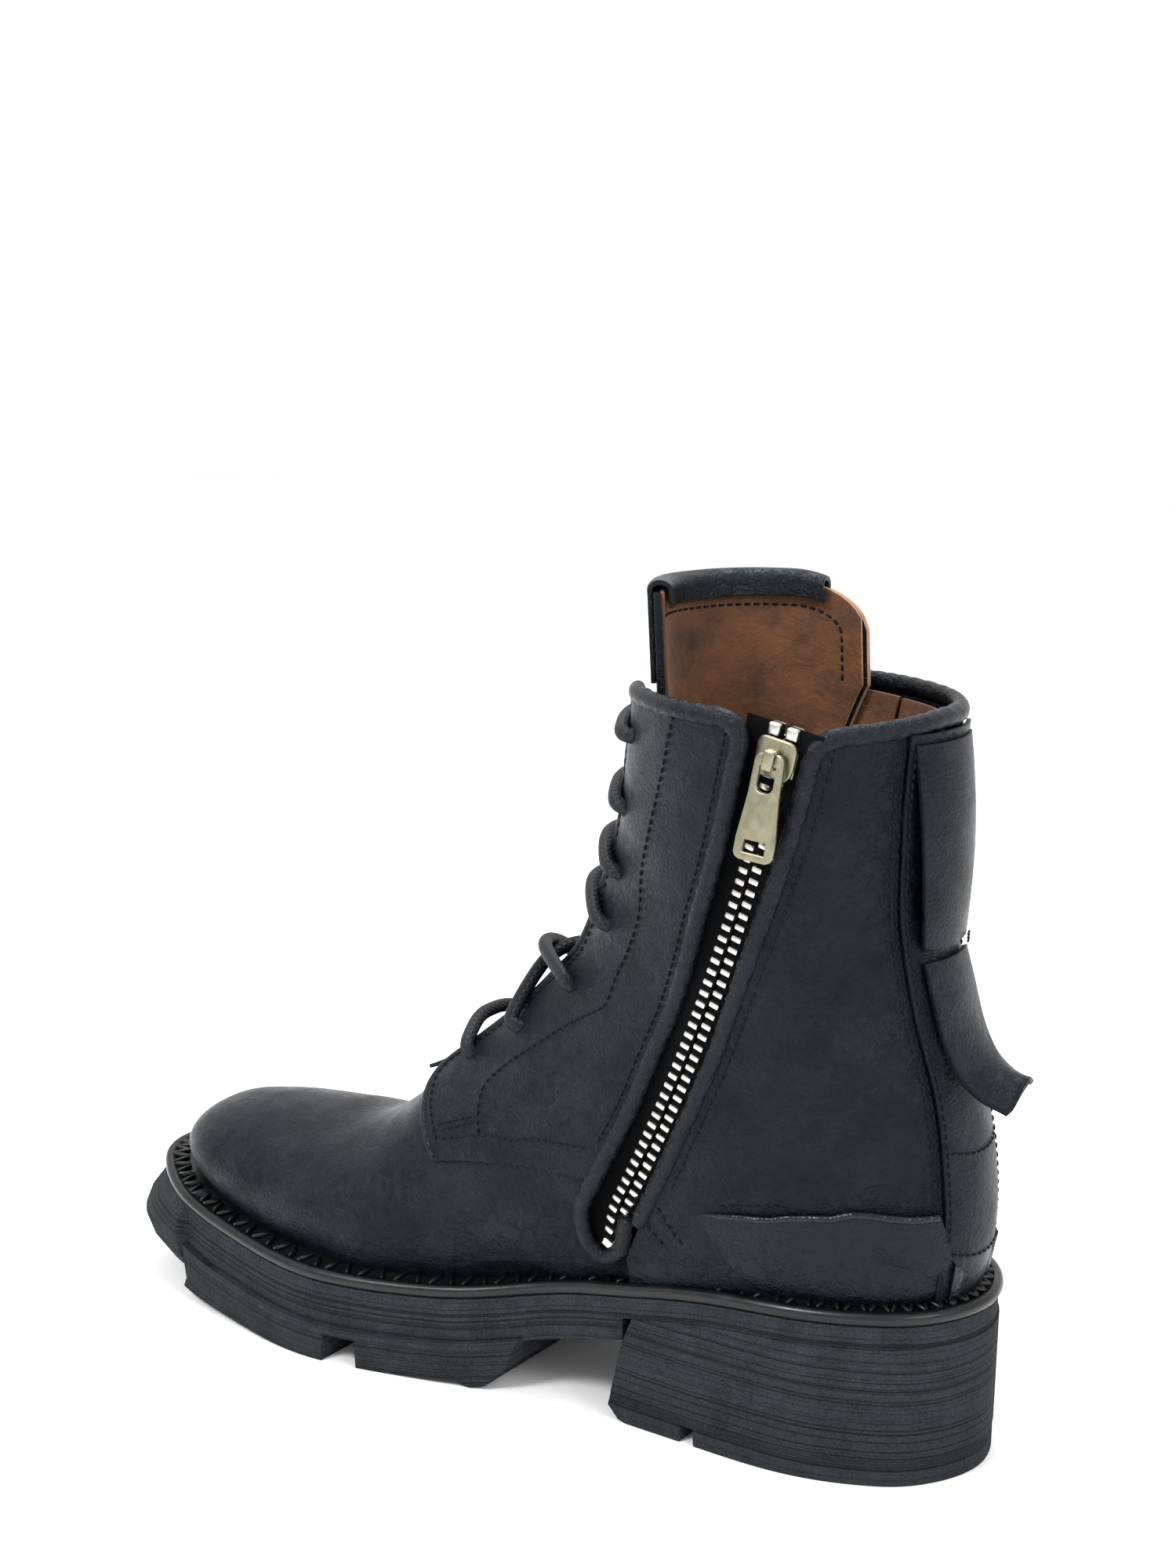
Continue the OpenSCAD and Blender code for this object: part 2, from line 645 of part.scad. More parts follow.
// Frame of the zip: children are drawn with X outward from the arc, Y along the boot's Y, Z up the zip.
module zip_at(a) {
  translate([arc_c[0], 0, arc_c[1]])
    rotate([0, -a, 0])
      translate([arc_r, zip_y, 0])
        children();
}
module zip_sweep(from, to, r1, r2, y1, y2) {
  translate([arc_c[0], 0, arc_c[1]])
    rotate([90, 0, 0])
      rotate([0, 0, from])
        rotate_extrude(angle = to - from, $fn = 200)
          translate([arc_r + r1, -y2])
            square([r2 - r1, y2 - y1]);
}
module zip_tape_front() {
  color("#1a1b1e")
    zip_sweep(zip_end + 0.2, zip_top, pipe_front + piping_r + 0.3, -2, zip_y - tape_t / 2, zip_y + tape_t / 2);
}
module zip_tape_rear() {
  color("#1a1b1e")
    zip_sweep(zip_end + 0.9, zip_top, 2, pipe_rear - piping_r - 0.3, zip_y - tape_t / 2, zip_y + tape_t / 2);
}
module tooth(side) {
  scale([side, 1, 1])
    translate([0, 0, -tooth_t / 2])
      linear_extrude(tooth_t)
        polygon([[0.85, -chain_t / 2], [3.9, -chain_t / 2], [3.9, -tape_t / 2 - 0.05], [1.9, -tape_t / 2 - 0.05],
          [1.9, tape_t / 2 + 0.05], [3.9, tape_t / 2 + 0.05], [3.9, chain_t / 2], [0.85, chain_t / 2]]);
}
tooth_a = tooth_pitch / arc_r * 180 / PI;
tooth_n = floor((zip_top - 0.5 - zip_end - 0.9) / tooth_a);
module zip_teeth_front() {
  color("#d9d8cf")
    for (i = [0:tooth_n])
      zip_at(zip_end + 0.7 + i * tooth_a)
        tooth(-1);
}
module zip_teeth_rear() {
  color("#d9d8cf")
    for (i = [0:tooth_n - 1])
      zip_at(zip_end + 0.7 + (i + 0.5) * tooth_a)
        tooth(1);
}
module stop_block(side) {
  scale([side, 1, 1])
    translate([0, 0, -1.6])
      linear_extrude(3.2)
        polygon([[0.9, -1.9], [4.2, -1.9], [4.2, -0.5], [1.9, -0.5], [1.9, 0.5], [4.2, 0.5], [4.2, 1.9], [0.9, 1.9]]);
}
module zip_top_stops() {
  color("#d9d8cf")
    zip_at(zip_top - 0.18) {
      stop_block(-1);
      stop_block(1);
    }
}
module zip_bottom_stop() {
  color("#d9d8cf")
    zip_at(zip_end + 0.3)
      difference() {
        translate([-3.6, -1.9, -1.2])
          cube([7.2, 3.8, 2.4]);
        translate([-5, -0.5, -2])
          cube([3.1, 1, 4]);
        translate([1.9, -0.5, -2])
          cube([3.1, 1, 4]);
      }
}
plate_y = chain_t / 2 + 0.3;
plate_t = 1.2;
module slider_plate(side) {
  scale([1, side, 1])
    translate([0, plate_y, 0]) {
      rotate([-90, 0, 0])
        linear_extrude(plate_t)
          polygon([[-4.2, -5], [4.2, -5], [5.6, -2.5], [5.6, 4], [4.8, 5], [-4.8, 5], [-5.6, 4], [-5.6, -2.5]]);
      for (x = [-5.6, 4.6])
        translate([x, -0.9, -4])
          cube([1, 0.95, 6.4]);
    }
}
module zip_slider() {
  color("#cfcbb0")
    zip_at(slider_a) {
      slider_plate(-1);
      slider_plate(1);
      translate([-0.6, -plate_y - 0.1, 1.6])
        cube([1.2, 2 * plate_y + 0.2, 3.2]);
      difference() {
        translate([-1.6, pull_y - zip_y - 1.7, -1.9])
          cube([3.2, -plate_y - plate_t - pull_y + zip_y + 1.75, 3.8]);
        translate([0, pull_y - zip_y, 0])
          rotate([0, 90, 0])
            cylinder(r = pivot_r + pivot_gap, h = 10, center = true);
      }
    }
}
module zip_pull() {
  color("#cfcbb0")
    zip_at(slider_a)
      translate([0, pull_y - zip_y, 0]) {
        rotate([0, 90, 0])
          cylinder(r = pivot_r, h = 5.6, center = true);
        rotate([90 - pull_lean, -pull_tilt, 0])
          linear_extrude(1.4, center = true)
            difference() {
              polygon([[-3.6, 1.2], [3.6, 1.2], [4.2, 0.2], [4.2, -10], [pull_w / 2, -pull_l + 5],
                [pull_w / 2, -pull_l + 1.2], [3.4, -pull_l], [-3.4, -pull_l], [-pull_w / 2, -pull_l + 1.2],
                [-pull_w / 2, -pull_l + 5], [-4.2, -10], [-4.2, 0.2]]);
              polygon([[-2.4, 2], [2.4, 2], [2.4, -7], [1.6, -7.8], [-1.6, -7.8], [-2.4, -7]]);
              translate([-3, -pull_l + 2])
                square([6, 3.2]);
            }
      }
}

outsole();
heel_block();
heel_top_lift();
welt();
welt_stitching();
shank();
cork_filler();
insole_board();
footbed_sock();
vamp();
toe_puff();
vamp_lining();
medial_front_quarter();
lateral_front_quarter();
facing_binding_medial();
facing_binding_lateral();
medial_rear_quarter();
lateral_rear_quarter();
medial_counter_cover();
lateral_counter_cover();
back_strip();
heel_counter();
medial_front_lining();
lateral_front_lining();
medial_rear_lining();
lateral_rear_lining();
collar_binding_front();
collar_binding_rear();
zip_piping_front();
zip_piping_rear();
back_strap();
strap_tail();
strap_tacks();
tongue();
tongue_lining();
tongue_pull();
lace();
zip_tape_front();
zip_tape_rear();
zip_teeth_front();
zip_teeth_rear();
zip_top_stops();
zip_bottom_stop();
zip_slider();
zip_pull();
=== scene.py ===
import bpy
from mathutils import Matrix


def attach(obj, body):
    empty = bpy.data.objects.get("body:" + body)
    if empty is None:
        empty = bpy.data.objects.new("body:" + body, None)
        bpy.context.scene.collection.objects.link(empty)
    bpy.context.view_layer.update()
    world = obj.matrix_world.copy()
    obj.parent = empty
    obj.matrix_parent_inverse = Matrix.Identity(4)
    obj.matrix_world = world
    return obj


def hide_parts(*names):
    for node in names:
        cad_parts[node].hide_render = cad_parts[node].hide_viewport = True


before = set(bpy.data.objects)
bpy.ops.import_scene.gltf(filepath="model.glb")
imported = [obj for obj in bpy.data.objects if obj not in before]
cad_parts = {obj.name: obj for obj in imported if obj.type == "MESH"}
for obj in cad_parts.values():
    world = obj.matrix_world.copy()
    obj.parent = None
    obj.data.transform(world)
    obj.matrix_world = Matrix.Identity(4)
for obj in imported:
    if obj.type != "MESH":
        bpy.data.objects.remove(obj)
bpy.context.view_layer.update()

import math
import bpy
import numpy as np
from mathutils import Matrix, Vector

# camera first: eye level a little above the collar, seen from the medial rear quarter
view = dict(eye=(0.2675, -0.5239, 0.2920), back=(0.5345, -0.7927, 0.2932), lens=53.46, shift=(0.0058, 0.158))


def placeCamera():
    data = bpy.data.cameras.new("camera")
    cam = bpy.data.objects.new("camera", data)
    bpy.context.collection.objects.link(cam)
    data.lens = view["lens"]
    data.sensor_width = 36
    data.shift_x, data.shift_y = view["shift"]
    cam.location = view["eye"]
    cam.rotation_euler = Vector(view["back"]).to_track_quat("Z", "Y").to_euler()
    bpy.context.scene.camera = cam


placeCamera()

# shape of the boot, in millimetres
# ridge x, ridge z, lower edge x, lower edge z, lower half widths, full half widths, ridge y
stations = np.array([
    [-222, 38, -222, 37, 0, 0, 0.1, 0.1, -3],
    [-225, 45, -218, 36.5, 12, 11, 15, 14, -3],
    [-222, 52, -208, 34.8, 23, 21, 25, 24, -3],
    [-213, 57, -195, 33, 30, 28, 32, 31, -3],
    [-197, 60, -178, 30.6, 35, 34, 37, 36, -3],
    [-177, 60.5, -157, 29, 39, 39, 41, 41, -3],
    [-155, 62, -134, 28.6, 39, 41, 42, 43, -3],
    [-137, 73, -110, 29.6, 34, 39, 39, 42, -2],
    [-124, 88, -84, 34, 28, 35, 36, 40, -1],
    [-112, 98, -56, 40.4, 29, 31, 36, 39, 0],
    [-101, 107, -28, 45.8, 29.5, 29, 36.5, 38, 0],
    [-92, 115, -2, 48.3, 29, 28, 36.5, 37, 0],
    [-86, 121.5, 18, 49.5, 23.5, 24, 36, 37, 0],
    [-81.5, 127, 31, 50.5, 14, 14, 36, 37, 0],
    [-78, 133, 37.5, 57, 0, 0, 35.5, 36, 0],
    [-72, 145, 38.5, 74, 0, 0, 35, 35, 0],
    [-67.5, 159, 34.5, 98, 0, 0, 35, 34, 0],
    [-64, 172, 27, 122, 0, 0, 36, 34, 0],
    [-62, 184, 22, 147, 0, 0, 36.5, 35, 0],
    [-60.5, 193, 21.5, 173, 0, 0, 37.5, 36, 0],
    [-60, 200, 23, 197, 0, 0, 38.5, 37, 0],
], float)
topU = 20
edge = np.array([
    [44, 0], [39, 17], [26, 29], [0, 36], [-40, 36], [-75, 38], [-110, 46], [-150, 52], [-185, 46],
    [-213, 32], [-231, 13], [-236, -3], [-231, -19], [-212, -34], [-186, -42], [-150, -48],
    [-110, -41.5], [-75, -33], [-40, -34.5], [0, -35.5], [26, -28], [39, -16],
], float)
deck = np.array([45.2, 44.8, 42.6, 35, 26.2, 23.8, 26.2, 32.2, 40.5])
arc = dict(x=-513.0, z=300.0, r=520.0, top=-11.5, end=-28.6, y=-32.8, slider=-12.2, chainTop=-11.3)


def spline(points, s, closed=False):
    p = np.asarray(points, float)
    p = p[:, None] if p.ndim == 1 else p
    s = np.asarray(s, float)
    n = len(p) if closed else len(p) - 1
    x = (s % 1.0) * n if closed else np.clip(s * n, 0, n - 1e-6)
    i = np.floor(x).astype(int)
    t = (x - i)[..., None]
    if closed:
        a, b, c, d = (p[(i + k) % n] for k in (-1, 0, 1, 2))
    else:
        a, b, c, d = (p[np.clip(i + k, 0, n)] for k in (-1, 0, 1, 2))
    return 0.5 * (2 * b + (c - a) * t + (2 * a - 5 * b + 4 * c - d) * t ** 2 + (3 * b - a - 3 * c + d) * t ** 3)


def fold(v):
    return np.where(v < -1, v + 2, np.where(v > 1, v - 2, v))


def surf(u, v):
    u, v = np.broadcast_arrays(np.asarray(u, float), fold(np.asarray(v, float)))
    q = spline(stations, u / topU)
    w = np.maximum(np.where(v < 0, q[..., 6], q[..., 7]), 0.05)
    yb = np.where(v < 0, q[..., 4], q[..., 5])
    e = np.pi - np.arcsin(np.clip(yb / w, 0, 1))
    p = np.abs(v) * e
    k = (1 - np.cos(p)) / (1 - np.cos(e))
    return np.stack([q[..., 0] + (q[..., 2] - q[..., 0]) * k,
                     np.sign(v) * w * np.sin(p) + q[..., 8] * (1 - k),
                     q[..., 1] + (q[..., 3] - q[..., 1]) * k], -1)


def unit(a):
    return a / np.maximum(np.linalg.norm(a, axis=-1, keepdims=True), 1e-9)


def outward(u, v):
    e = 0.02
    a = surf(u + e, v) - surf(u - e, v)
    b = surf(u, v + e) - surf(u, v - e)
    return unit(np.cross(a, b))


# slow hollows and swells of worn leather, the same for every layer so they stay in contact
def swell(p):
    x, y, z = p[..., 0], p[..., 1], p[..., 2]
    a = np.sin(x / 9.1 + z / 17.3 + 1.3) * np.sin(y / 11.7 - z / 14.9 + 0.4)
    b = np.sin(x / 5.3 - z / 6.9 + np.sin(y / 7.7) * 1.6 + 2.1) * np.sin(z / 12.1 + y / 9.3)
    ankle = np.exp(-((z - 112 + 0.25 * (x + 40)) / 26) ** 2)
    return 0.32 * a + 0.16 * b + 0.4 * ankle * np.sin(z / 4.4 + x / 12 + np.sin(x / 9.5 + y / 8) * 1.4) * 0.5


def skin(uv, o):
    uv = np.asarray(uv, float)
    u, v = uv[..., 0], uv[..., 1]
    p = surf(u, v)
    o = np.asarray(o, float)
    return p + outward(u, v) * (o + swell(p))[..., None]


def seen(x, z, side):
    x, z = np.broadcast_arrays(np.asarray(x, float), np.asarray(z, float))
    lo, hi = np.zeros(x.shape), np.full(x.shape, float(topU))
    for step in range(32):
        m = (lo + hi) / 2
        q = spline(stations, m / topU)
        g = (q[..., 2] - q[..., 0]) * (z - q[..., 1]) - (q[..., 3] - q[..., 1]) * (x - q[..., 0])
        lo, hi = np.where(g > 0, m, lo), np.where(g > 0, hi, m)
    q = spline(stations, lo / topU)
    dx, dz = q[..., 2] - q[..., 0], q[..., 3] - q[..., 1]
    k = np.clip((dx * (x - q[..., 0]) + dz * (z - q[..., 1])) / (dx * dx + dz * dz), 0, 1)
    w = q[..., 6] if side < 0 else q[..., 7]
    yb = q[..., 4] if side < 0 else q[..., 5]
    e = np.pi - np.arcsin(np.clip(yb / w, 0, 1))
    return np.stack([lo, side * np.arccos(1 - k * (1 - np.cos(e))) / e], -1)


def zipLine(d, side, start, end, n):
    a = np.radians(np.linspace(start, end, n))
    return seen(arc["x"] + (arc["r"] + d) * np.cos(a), arc["z"] + (arc["r"] + d) * np.sin(a), side)


def mirrorV(points):
    return np.asarray(points, float) * [1, -1]


def topZ(x):
    return spline(deck, (60 - np.asarray(x, float)) / 320)[..., 0]


def rim(s, d):
    t = unit(spline(edge, s + 0.004, True) - spline(edge, s - 0.004, True))
    n = np.stack([-t[..., 1], t[..., 0]], -1)
    return spline(edge, s, True) + np.asarray(d)[..., None] * n


# mesh helpers
def makeObject(name, points, faces, mm=0.001):
    mesh = bpy.data.meshes.new(name)
    mesh.from_pydata((np.asarray(points, float) * mm).tolist(), [], [list(map(int, f)) for f in faces])
    mesh.update()
    obj = bpy.data.objects.new(name, mesh)
    bpy.context.collection.objects.link(obj)
    return obj


def selectOnly(obj):
    bpy.ops.object.select_all(action="DESELECT")
    obj.select_set(True)
    bpy.context.view_layer.objects.active = obj


def modify(obj, kind, **settings):
    mod = obj.modifiers.new(kind.lower(), kind)
    for key, value in settings.items():
        setattr(mod, key, value)
    selectOnly(obj)
    bpy.ops.object.modifier_apply(modifier=mod.name)


def smoothShade(obj, angle=40):
    selectOnly(obj)
    bpy.ops.object.shade_smooth_by_angle(angle=math.radians(angle))


def place(obj, finish, nodes=(), body="boot"):
    if isinstance(finish, (list, tuple)):
        for m in finish:
            obj.data.materials.append(m)
    else:
        obj.data.materials.append(finish)
    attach(obj, body)
    if nodes:
        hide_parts(*nodes)
    return obj


def lengths(points, axis):
    step = np.linalg.norm(np.diff(points, axis=axis), axis=-1)
    pad = np.zeros_like(np.take(step, [0], axis=axis))
    return np.concatenate([pad, np.cumsum(step, axis=axis)], axis=axis)


def sheetMesh(name, points, flip=False):
    n, m = points.shape[:2]
    faces = []
    for i in range(n - 1):
        for j in range(m - 1):
            f = [i * m + j, i * m + j + 1, (i + 1) * m + j + 1, (i + 1) * m + j]
            faces.append(f[::-1] if flip else f)
    obj = makeObject(name, points.reshape(-1, 3), faces)
    return obj


def addMap(obj, values):
    layer = obj.data.uv_layers.new(name="cut")
    idx = np.zeros(len(obj.data.loops), int)
    obj.data.loops.foreach_get("vertex_index", idx)
    layer.data.foreach_set("uv", values[idx].astype(np.float32).ravel())


def addSheetMap(obj, pts):
    addMap(obj, np.stack([lengths(pts, 1), lengths(pts, 0)], -1).reshape(-1, 2) * 0.001)


# leather panel between two curves of surface coordinates, thickened inwards, edges rounded
def panel(name, a, b, n, m, out, thick, finish, nodes, soft=0.35, fade=None, skirt=()):
    s = np.linspace(0, 1, n)[:, None]
    t = np.linspace(0, 1, m)[None, :]
    pa = spline(a, s[:, 0])[:, None, :]
    pb = spline(b, s[:, 0])[:, None, :]
    uv = pa * (1 - t[..., None]) + pb * t[..., None]
    o = np.full((n, m), float(out))
    if fade is not None:
        o = o + fade(s, t)
    return leather(name, uv, o, thick, finish, nodes, soft, skirt)


def turnDown(row, share):
    low = np.minimum(row[..., 2] - 1.5, topZ(row[..., 0]) + 1.6)
    middle = np.stack([np.clip(row[..., 0], -185, 12), 0 * row[..., 1]], -1)
    pull = unit(row[..., :2] - middle) * 2.6 * share
    return np.concatenate([row[..., :2] - pull, (row[..., 2] + (low - row[..., 2]) * share)[..., None]], -1)


def leather(name, uv, o, thick, finish, nodes, soft=0.35, skirt=()):
    pts = skin(uv, o)
    n, m = pts.shape[:2]
    mid = pts[n // 2, m // 2]
    a = pts[n // 2 + 1, m // 2] - mid
    b = pts[n // 2, m // 2 + 1] - mid
    facing = np.cross(a, b) @ outward(uv[n // 2, m // 2, 0], uv[n // 2, m // 2, 1])
    # where a panel is lasted, its edge turns down inside the welt
    for where in skirt:
        if where == "end":
            pts = np.concatenate([pts, turnDown(pts[-1:], 0.5), turnDown(pts[-1:], 1)], 0)
        if where == "low":
            pts = np.concatenate([turnDown(pts[:, :1], 1), turnDown(pts[:, :1], 0.5), pts], 1)
        if where == "high":
            pts = np.concatenate([pts, turnDown(pts[:, -1:], 0.5), turnDown(pts[:, -1:], 1)], 1)
    obj = sheetMesh(name, pts, flip=facing > 0)
    addSheetMap(obj, pts)
    modify(obj, "SOLIDIFY", thickness=thick * 0.001, offset=-1)
    if soft:
        modify(obj, "BEVEL", width=soft * 0.001, segments=3, limit_method="ANGLE",
               angle_limit=math.radians(50))
    smoothShade(obj, 60)
    return place(obj, finish, nodes)


# cord or piping: an oval section carried along a path, its flat side to the given normals
def tube(name, path, wide, high, finish, nodes, normals=None, sides=16, body="boot", taper=0.6):
    path = np.asarray(path, float)
    n = len(path)
    d = unit(np.gradient(path, axis=0))
    if normals is None:
        up = np.cross(d[0], [0.31, 0.87, 0.39])
        ups = []
        for i in range(n):
            up = unit(up - d[i] * (up @ d[i]))
            ups.append(up)
        ups = np.array(ups)
    else:
        ups = unit(normals - d * np.sum(normals * d, -1, keepdims=True))
    side = np.cross(d, ups)
    run = lengths(path, 0)
    ends = np.minimum(run, run[-1] - run)
    cap = np.sqrt(np.clip(1 - (1 - np.clip(ends / (high * taper + 1e-6), 0, 1)) ** 2, 0.02, 1))
    w = np.broadcast_to(np.asarray(wide, float), (n,)) * cap
    h = np.broadcast_to(np.asarray(high, float), (n,)) * cap
    th = np.arange(sides) * 2 * np.pi / sides
    pts = (path[:, None] + side[:, None] * (w[:, None] * np.cos(th))[..., None]
           + ups[:, None] * (h[:, None] * np.sin(th))[..., None])
    faces = []
    for i in range(n - 1):
        for j in range(sides):
            k = (j + 1) % sides
            faces.append([i * sides + j, i * sides + k, (i + 1) * sides + k, (i + 1) * sides + j])
    faces.append(list(range(sides))[::-1])
    faces.append([(n - 1) * sides + j for j in range(sides)])
    obj = makeObject(name, pts.reshape(-1, 3), faces)
    around = np.broadcast_to(np.arange(sides) / sides * 2 * np.pi * np.mean(w), (n, sides))
    addMap(obj, np.stack([around, np.broadcast_to(run[:, None], (n, sides))], -1).reshape(-1, 2) * 0.001)
    smoothShade(obj, 70)
    return place(obj, finish, nodes, body)


def along(points, step):
    points = np.asarray(points, float)
    run = lengths(points, 0)
    s = np.arange(step / 2, run[-1], step)
    return np.stack([np.interp(s, run, points[:, k]) for k in range(points.shape[1])], -1)


# a row of sewn stitches: short thread humps end to end along a line on the leather
stitch = dict(pitch=2.5, long=1.75, thick=0.34)


def stitchMesh(rows, pitch=None):
    pts, faces = [], []
    for line, normal in rows:
        pos = along(line, pitch or stitch["pitch"])
        nrm = unit(alongLike(line, normal, pitch or stitch["pitch"]))
        d = unit(np.gradient(pos, axis=0))
        for p, nn, dd in zip(pos, nrm, d):
            side = np.cross(dd, nn)
            base = len(pts)
            for k, (t, r) in enumerate(((-1, 0.35), (-0.75, 0.9), (0, 1.05), (0.75, 0.9), (1, 0.35))):
                c = p + dd * t * stitch["long"] / 2 + nn * (0.12 * (1 - t * t) - 0.06 * abs(t))
                for a in np.arange(6) * math.pi / 3:
                    pts.append(c + (side * math.cos(a) + nn * math.sin(a)) * stitch["thick"] * r)
            for k in range(4):
                for j in range(6):
                    q = (j + 1) % 6
                    faces.append([base + k * 6 + j, base + k * 6 + q, base + k * 6 + 6 + q,
                                  base + k * 6 + 6 + j])
            faces.append([base + j for j in range(6)][::-1])
            faces.append([base + 24 + j for j in range(6)])
    return np.array(pts), faces


def alongLike(points, values, step):
    run = lengths(np.asarray(points, float), 0)
    s = np.arange(step / 2, run[-1], step)
    return np.stack([np.interp(s, run, values[:, k]) for k in range(3)], -1)


def sewLine(uvList, o, count=160):
    uv = spline(uvList, np.linspace(0, 1, count))
    return skin(uv, o), outward(uv[:, 0], uv[:, 1])


def sew(name, rows, finish, nodes=(), body="boot"):
    pts, faces = stitchMesh(rows)
    obj = makeObject(name, pts, faces)
    smoothShade(obj, 80)
    return place(obj, finish, nodes, body)


# finishes
def tint(code):
    c = [int(code[i:i + 2], 16) / 255 for i in (0, 2, 4)]
    return tuple((x / 12.92 if x <= 0.04045 else ((x + 0.055) / 1.055) ** 2.4) for x in c) + (1.0,)


def addNode(tree, kind, settings=None, links=None):
    node = tree.nodes.new(kind)
    for key, value in (settings or {}).items():
        if isinstance(key, str) and key[0].islower():
            setattr(node, key, value)
        else:
            node.inputs[key].default_value = value
    for key, source in (links or {}).items():
        tree.links.new(source, node.inputs[key])
    return node


def newFinish(name, **shader):
    mat = bpy.data.materials.new(name)
    mat.use_nodes = True
    tree = mat.node_tree
    tree.nodes.clear()
    out = tree.nodes.new("ShaderNodeOutputMaterial")
    bsdf = addNode(tree, "ShaderNodeBsdfPrincipled", shader)
    tree.links.new(bsdf.outputs[0], out.inputs[0])
    coord = tree.nodes.new("ShaderNodeTexCoord")
    return mat, tree, bsdf, coord


def blendTints(tree, factor, a, b):
    ramp = addNode(tree, "ShaderNodeValToRGB", links={"Fac": factor})
    ramp.color_ramp.elements[0].color = tint(a)
    ramp.color_ramp.elements[1].color = tint(b)
    return ramp


def span(tree, value, low, high, fromMin=0.0, fromMax=1.0):
    return addNode(tree, "ShaderNodeMapRange", {"From Min": fromMin, "From Max": fromMax, "To Min": low,
                                                "To Max": high}, {"Value": value}).outputs[0]


# waxed calf leather, drum milled: blue-black, long soft highlights broken by fine creases and pores
calf = dict(dark="030407", light="10141a", rough=(0.2, 0.46), poreMm=0.9, creaseMm=4.2)


def calfLeather(name, dark, light, rough, crease, creaseMm, shine=0.17):
    mat, tree, bsdf, coord = newFinish(name, **{"IOR": 1.5, "Specular IOR Level": shine,
                                                "Specular Tint": (0.78, 0.88, 1, 1)})
    obj = coord.outputs["Object"]
    cloud = addNode(tree, "ShaderNodeTexNoise", {"Scale": 46, "Detail": 7, "Roughness": 0.68},
                    {"Vector": obj})
    tone = blendTints(tree, cloud.outputs[0], dark, light)
    tone.color_ramp.elements[0].position = 0.38
    tone.color_ramp.elements[1].position = 0.66
    tree.links.new(tone.outputs[0], bsdf.inputs["Base Color"])
    tree.links.new(span(tree, cloud.outputs[0], rough[1], rough[0], 0.3, 0.7), bsdf.inputs["Roughness"])
    grain = addNode(tree, "ShaderNodeTexVoronoi", {"Scale": 1000 / calf["poreMm"], "feature": "F1"},
                    {"Vector": obj})
    # creases come in patches: a slow cloud decides where the leather is wrinkled
    patch = addNode(tree, "ShaderNodeTexNoise", {"Scale": 30, "Detail": 3}, {"Vector": obj})
    warp = addNode(tree, "ShaderNodeTexNoise", {"Scale": 1000 / creaseMm, "Detail": 6, "Roughness": 0.68,
                                                "Distortion": 1.2}, {"Vector": obj})
    lines = addNode(tree, "ShaderNodeMath", {"operation": "ABSOLUTE"},
                    {0: addNode(tree, "ShaderNodeMath", {"operation": "SUBTRACT", 1: 0.5},
                                {0: warp.outputs[0]}).outputs[0]})
    cracks = span(tree, lines.outputs[0], 0.0, 1.0, 0.0, 0.09)
    amount = span(tree, patch.outputs[0], 0.3, 0.85, 0.4, 0.65)
    height = addNode(tree, "ShaderNodeMath", {"operation": "MULTIPLY"}, {0: cracks, 1: amount})
    b1 = addNode(tree, "ShaderNodeBump", {"Strength": 0.35, "Distance": 0.0004}, {"Height": grain.outputs[0]})
    b2 = addNode(tree, "ShaderNodeBump", {"Strength": 0.3, "Distance": 0.001},
                 {"Height": warp.outputs[0], "Normal": b1.outputs[0]})
    b3 = addNode(tree, "ShaderNodeBump", {"Strength": crease, "Distance": 0.0006},
                 {"Height": height.outputs[0], "Normal": b2.outputs[0]})
    tree.links.new(b3.outputs[0], bsdf.inputs["Normal"])
    return mat


# the same calf, polished over the counter and rolled edges: smoother and shinier
upperLeather = calfLeather("upperLeather", calf["dark"], calf["light"], calf["rough"], 0.4, calf["creaseMm"])
counterLeather = calfLeather("counterLeather", "030508", "0c1014", (0.14, 0.36), 0.3, calf["creaseMm"], 0.24)
polishedLeather = calfLeather("polishedLeather", "050607", "0b0c0e", (0.14, 0.28), 0.12, 9.0, 0.4)
rolledLeather = calfLeather("rolledLeather", "06080a", "0e1013", (0.2, 0.36), 0.35, 3.2, 0.24)


# vegetable-tanned lining leather, undyed and matte: warm tan with pores and a soft nap
def liningFinish(name, dark, light):
    mat, tree, bsdf, coord = newFinish(name, **{"IOR": 1.45, "Roughness": 0.72, "Sheen Weight": 0.15})
    obj = coord.outputs["Object"]
    cloud = addNode(tree, "ShaderNodeTexNoise", {"Scale": 55, "Detail": 6, "Roughness": 0.65},
                    {"Vector": obj})
    tone = blendTints(tree, cloud.outputs[0], dark, light)
    tone.color_ramp.elements[0].position = 0.3
    tone.color_ramp.elements[1].position = 0.72
    tree.links.new(tone.outputs[0], bsdf.inputs["Base Color"])
    pores = addNode(tree, "ShaderNodeTexVoronoi", {"Scale": 1000 / 0.8}, {"Vector": obj})
    creases = addNode(tree, "ShaderNodeTexNoise", {"Scale": 150, "Detail": 6, "Distortion": 1.2},
                      {"Vector": obj})
    b1 = addNode(tree, "ShaderNodeBump", {"Strength": 0.25, "Distance": 0.0003}, {"Height": pores.outputs[0]})
    b2 = addNode(tree, "ShaderNodeBump", {"Strength": 0.6, "Distance": 0.0012},
                 {"Height": creases.outputs[0], "Normal": b1.outputs[0]})
    tree.links.new(b2.outputs[0], bsdf.inputs["Normal"])
    return mat


tanLining = liningFinish("tanLining", "37200f", "744824")
rawEdge = liningFinish("rawEdge", "7c583e", "b98c6a")


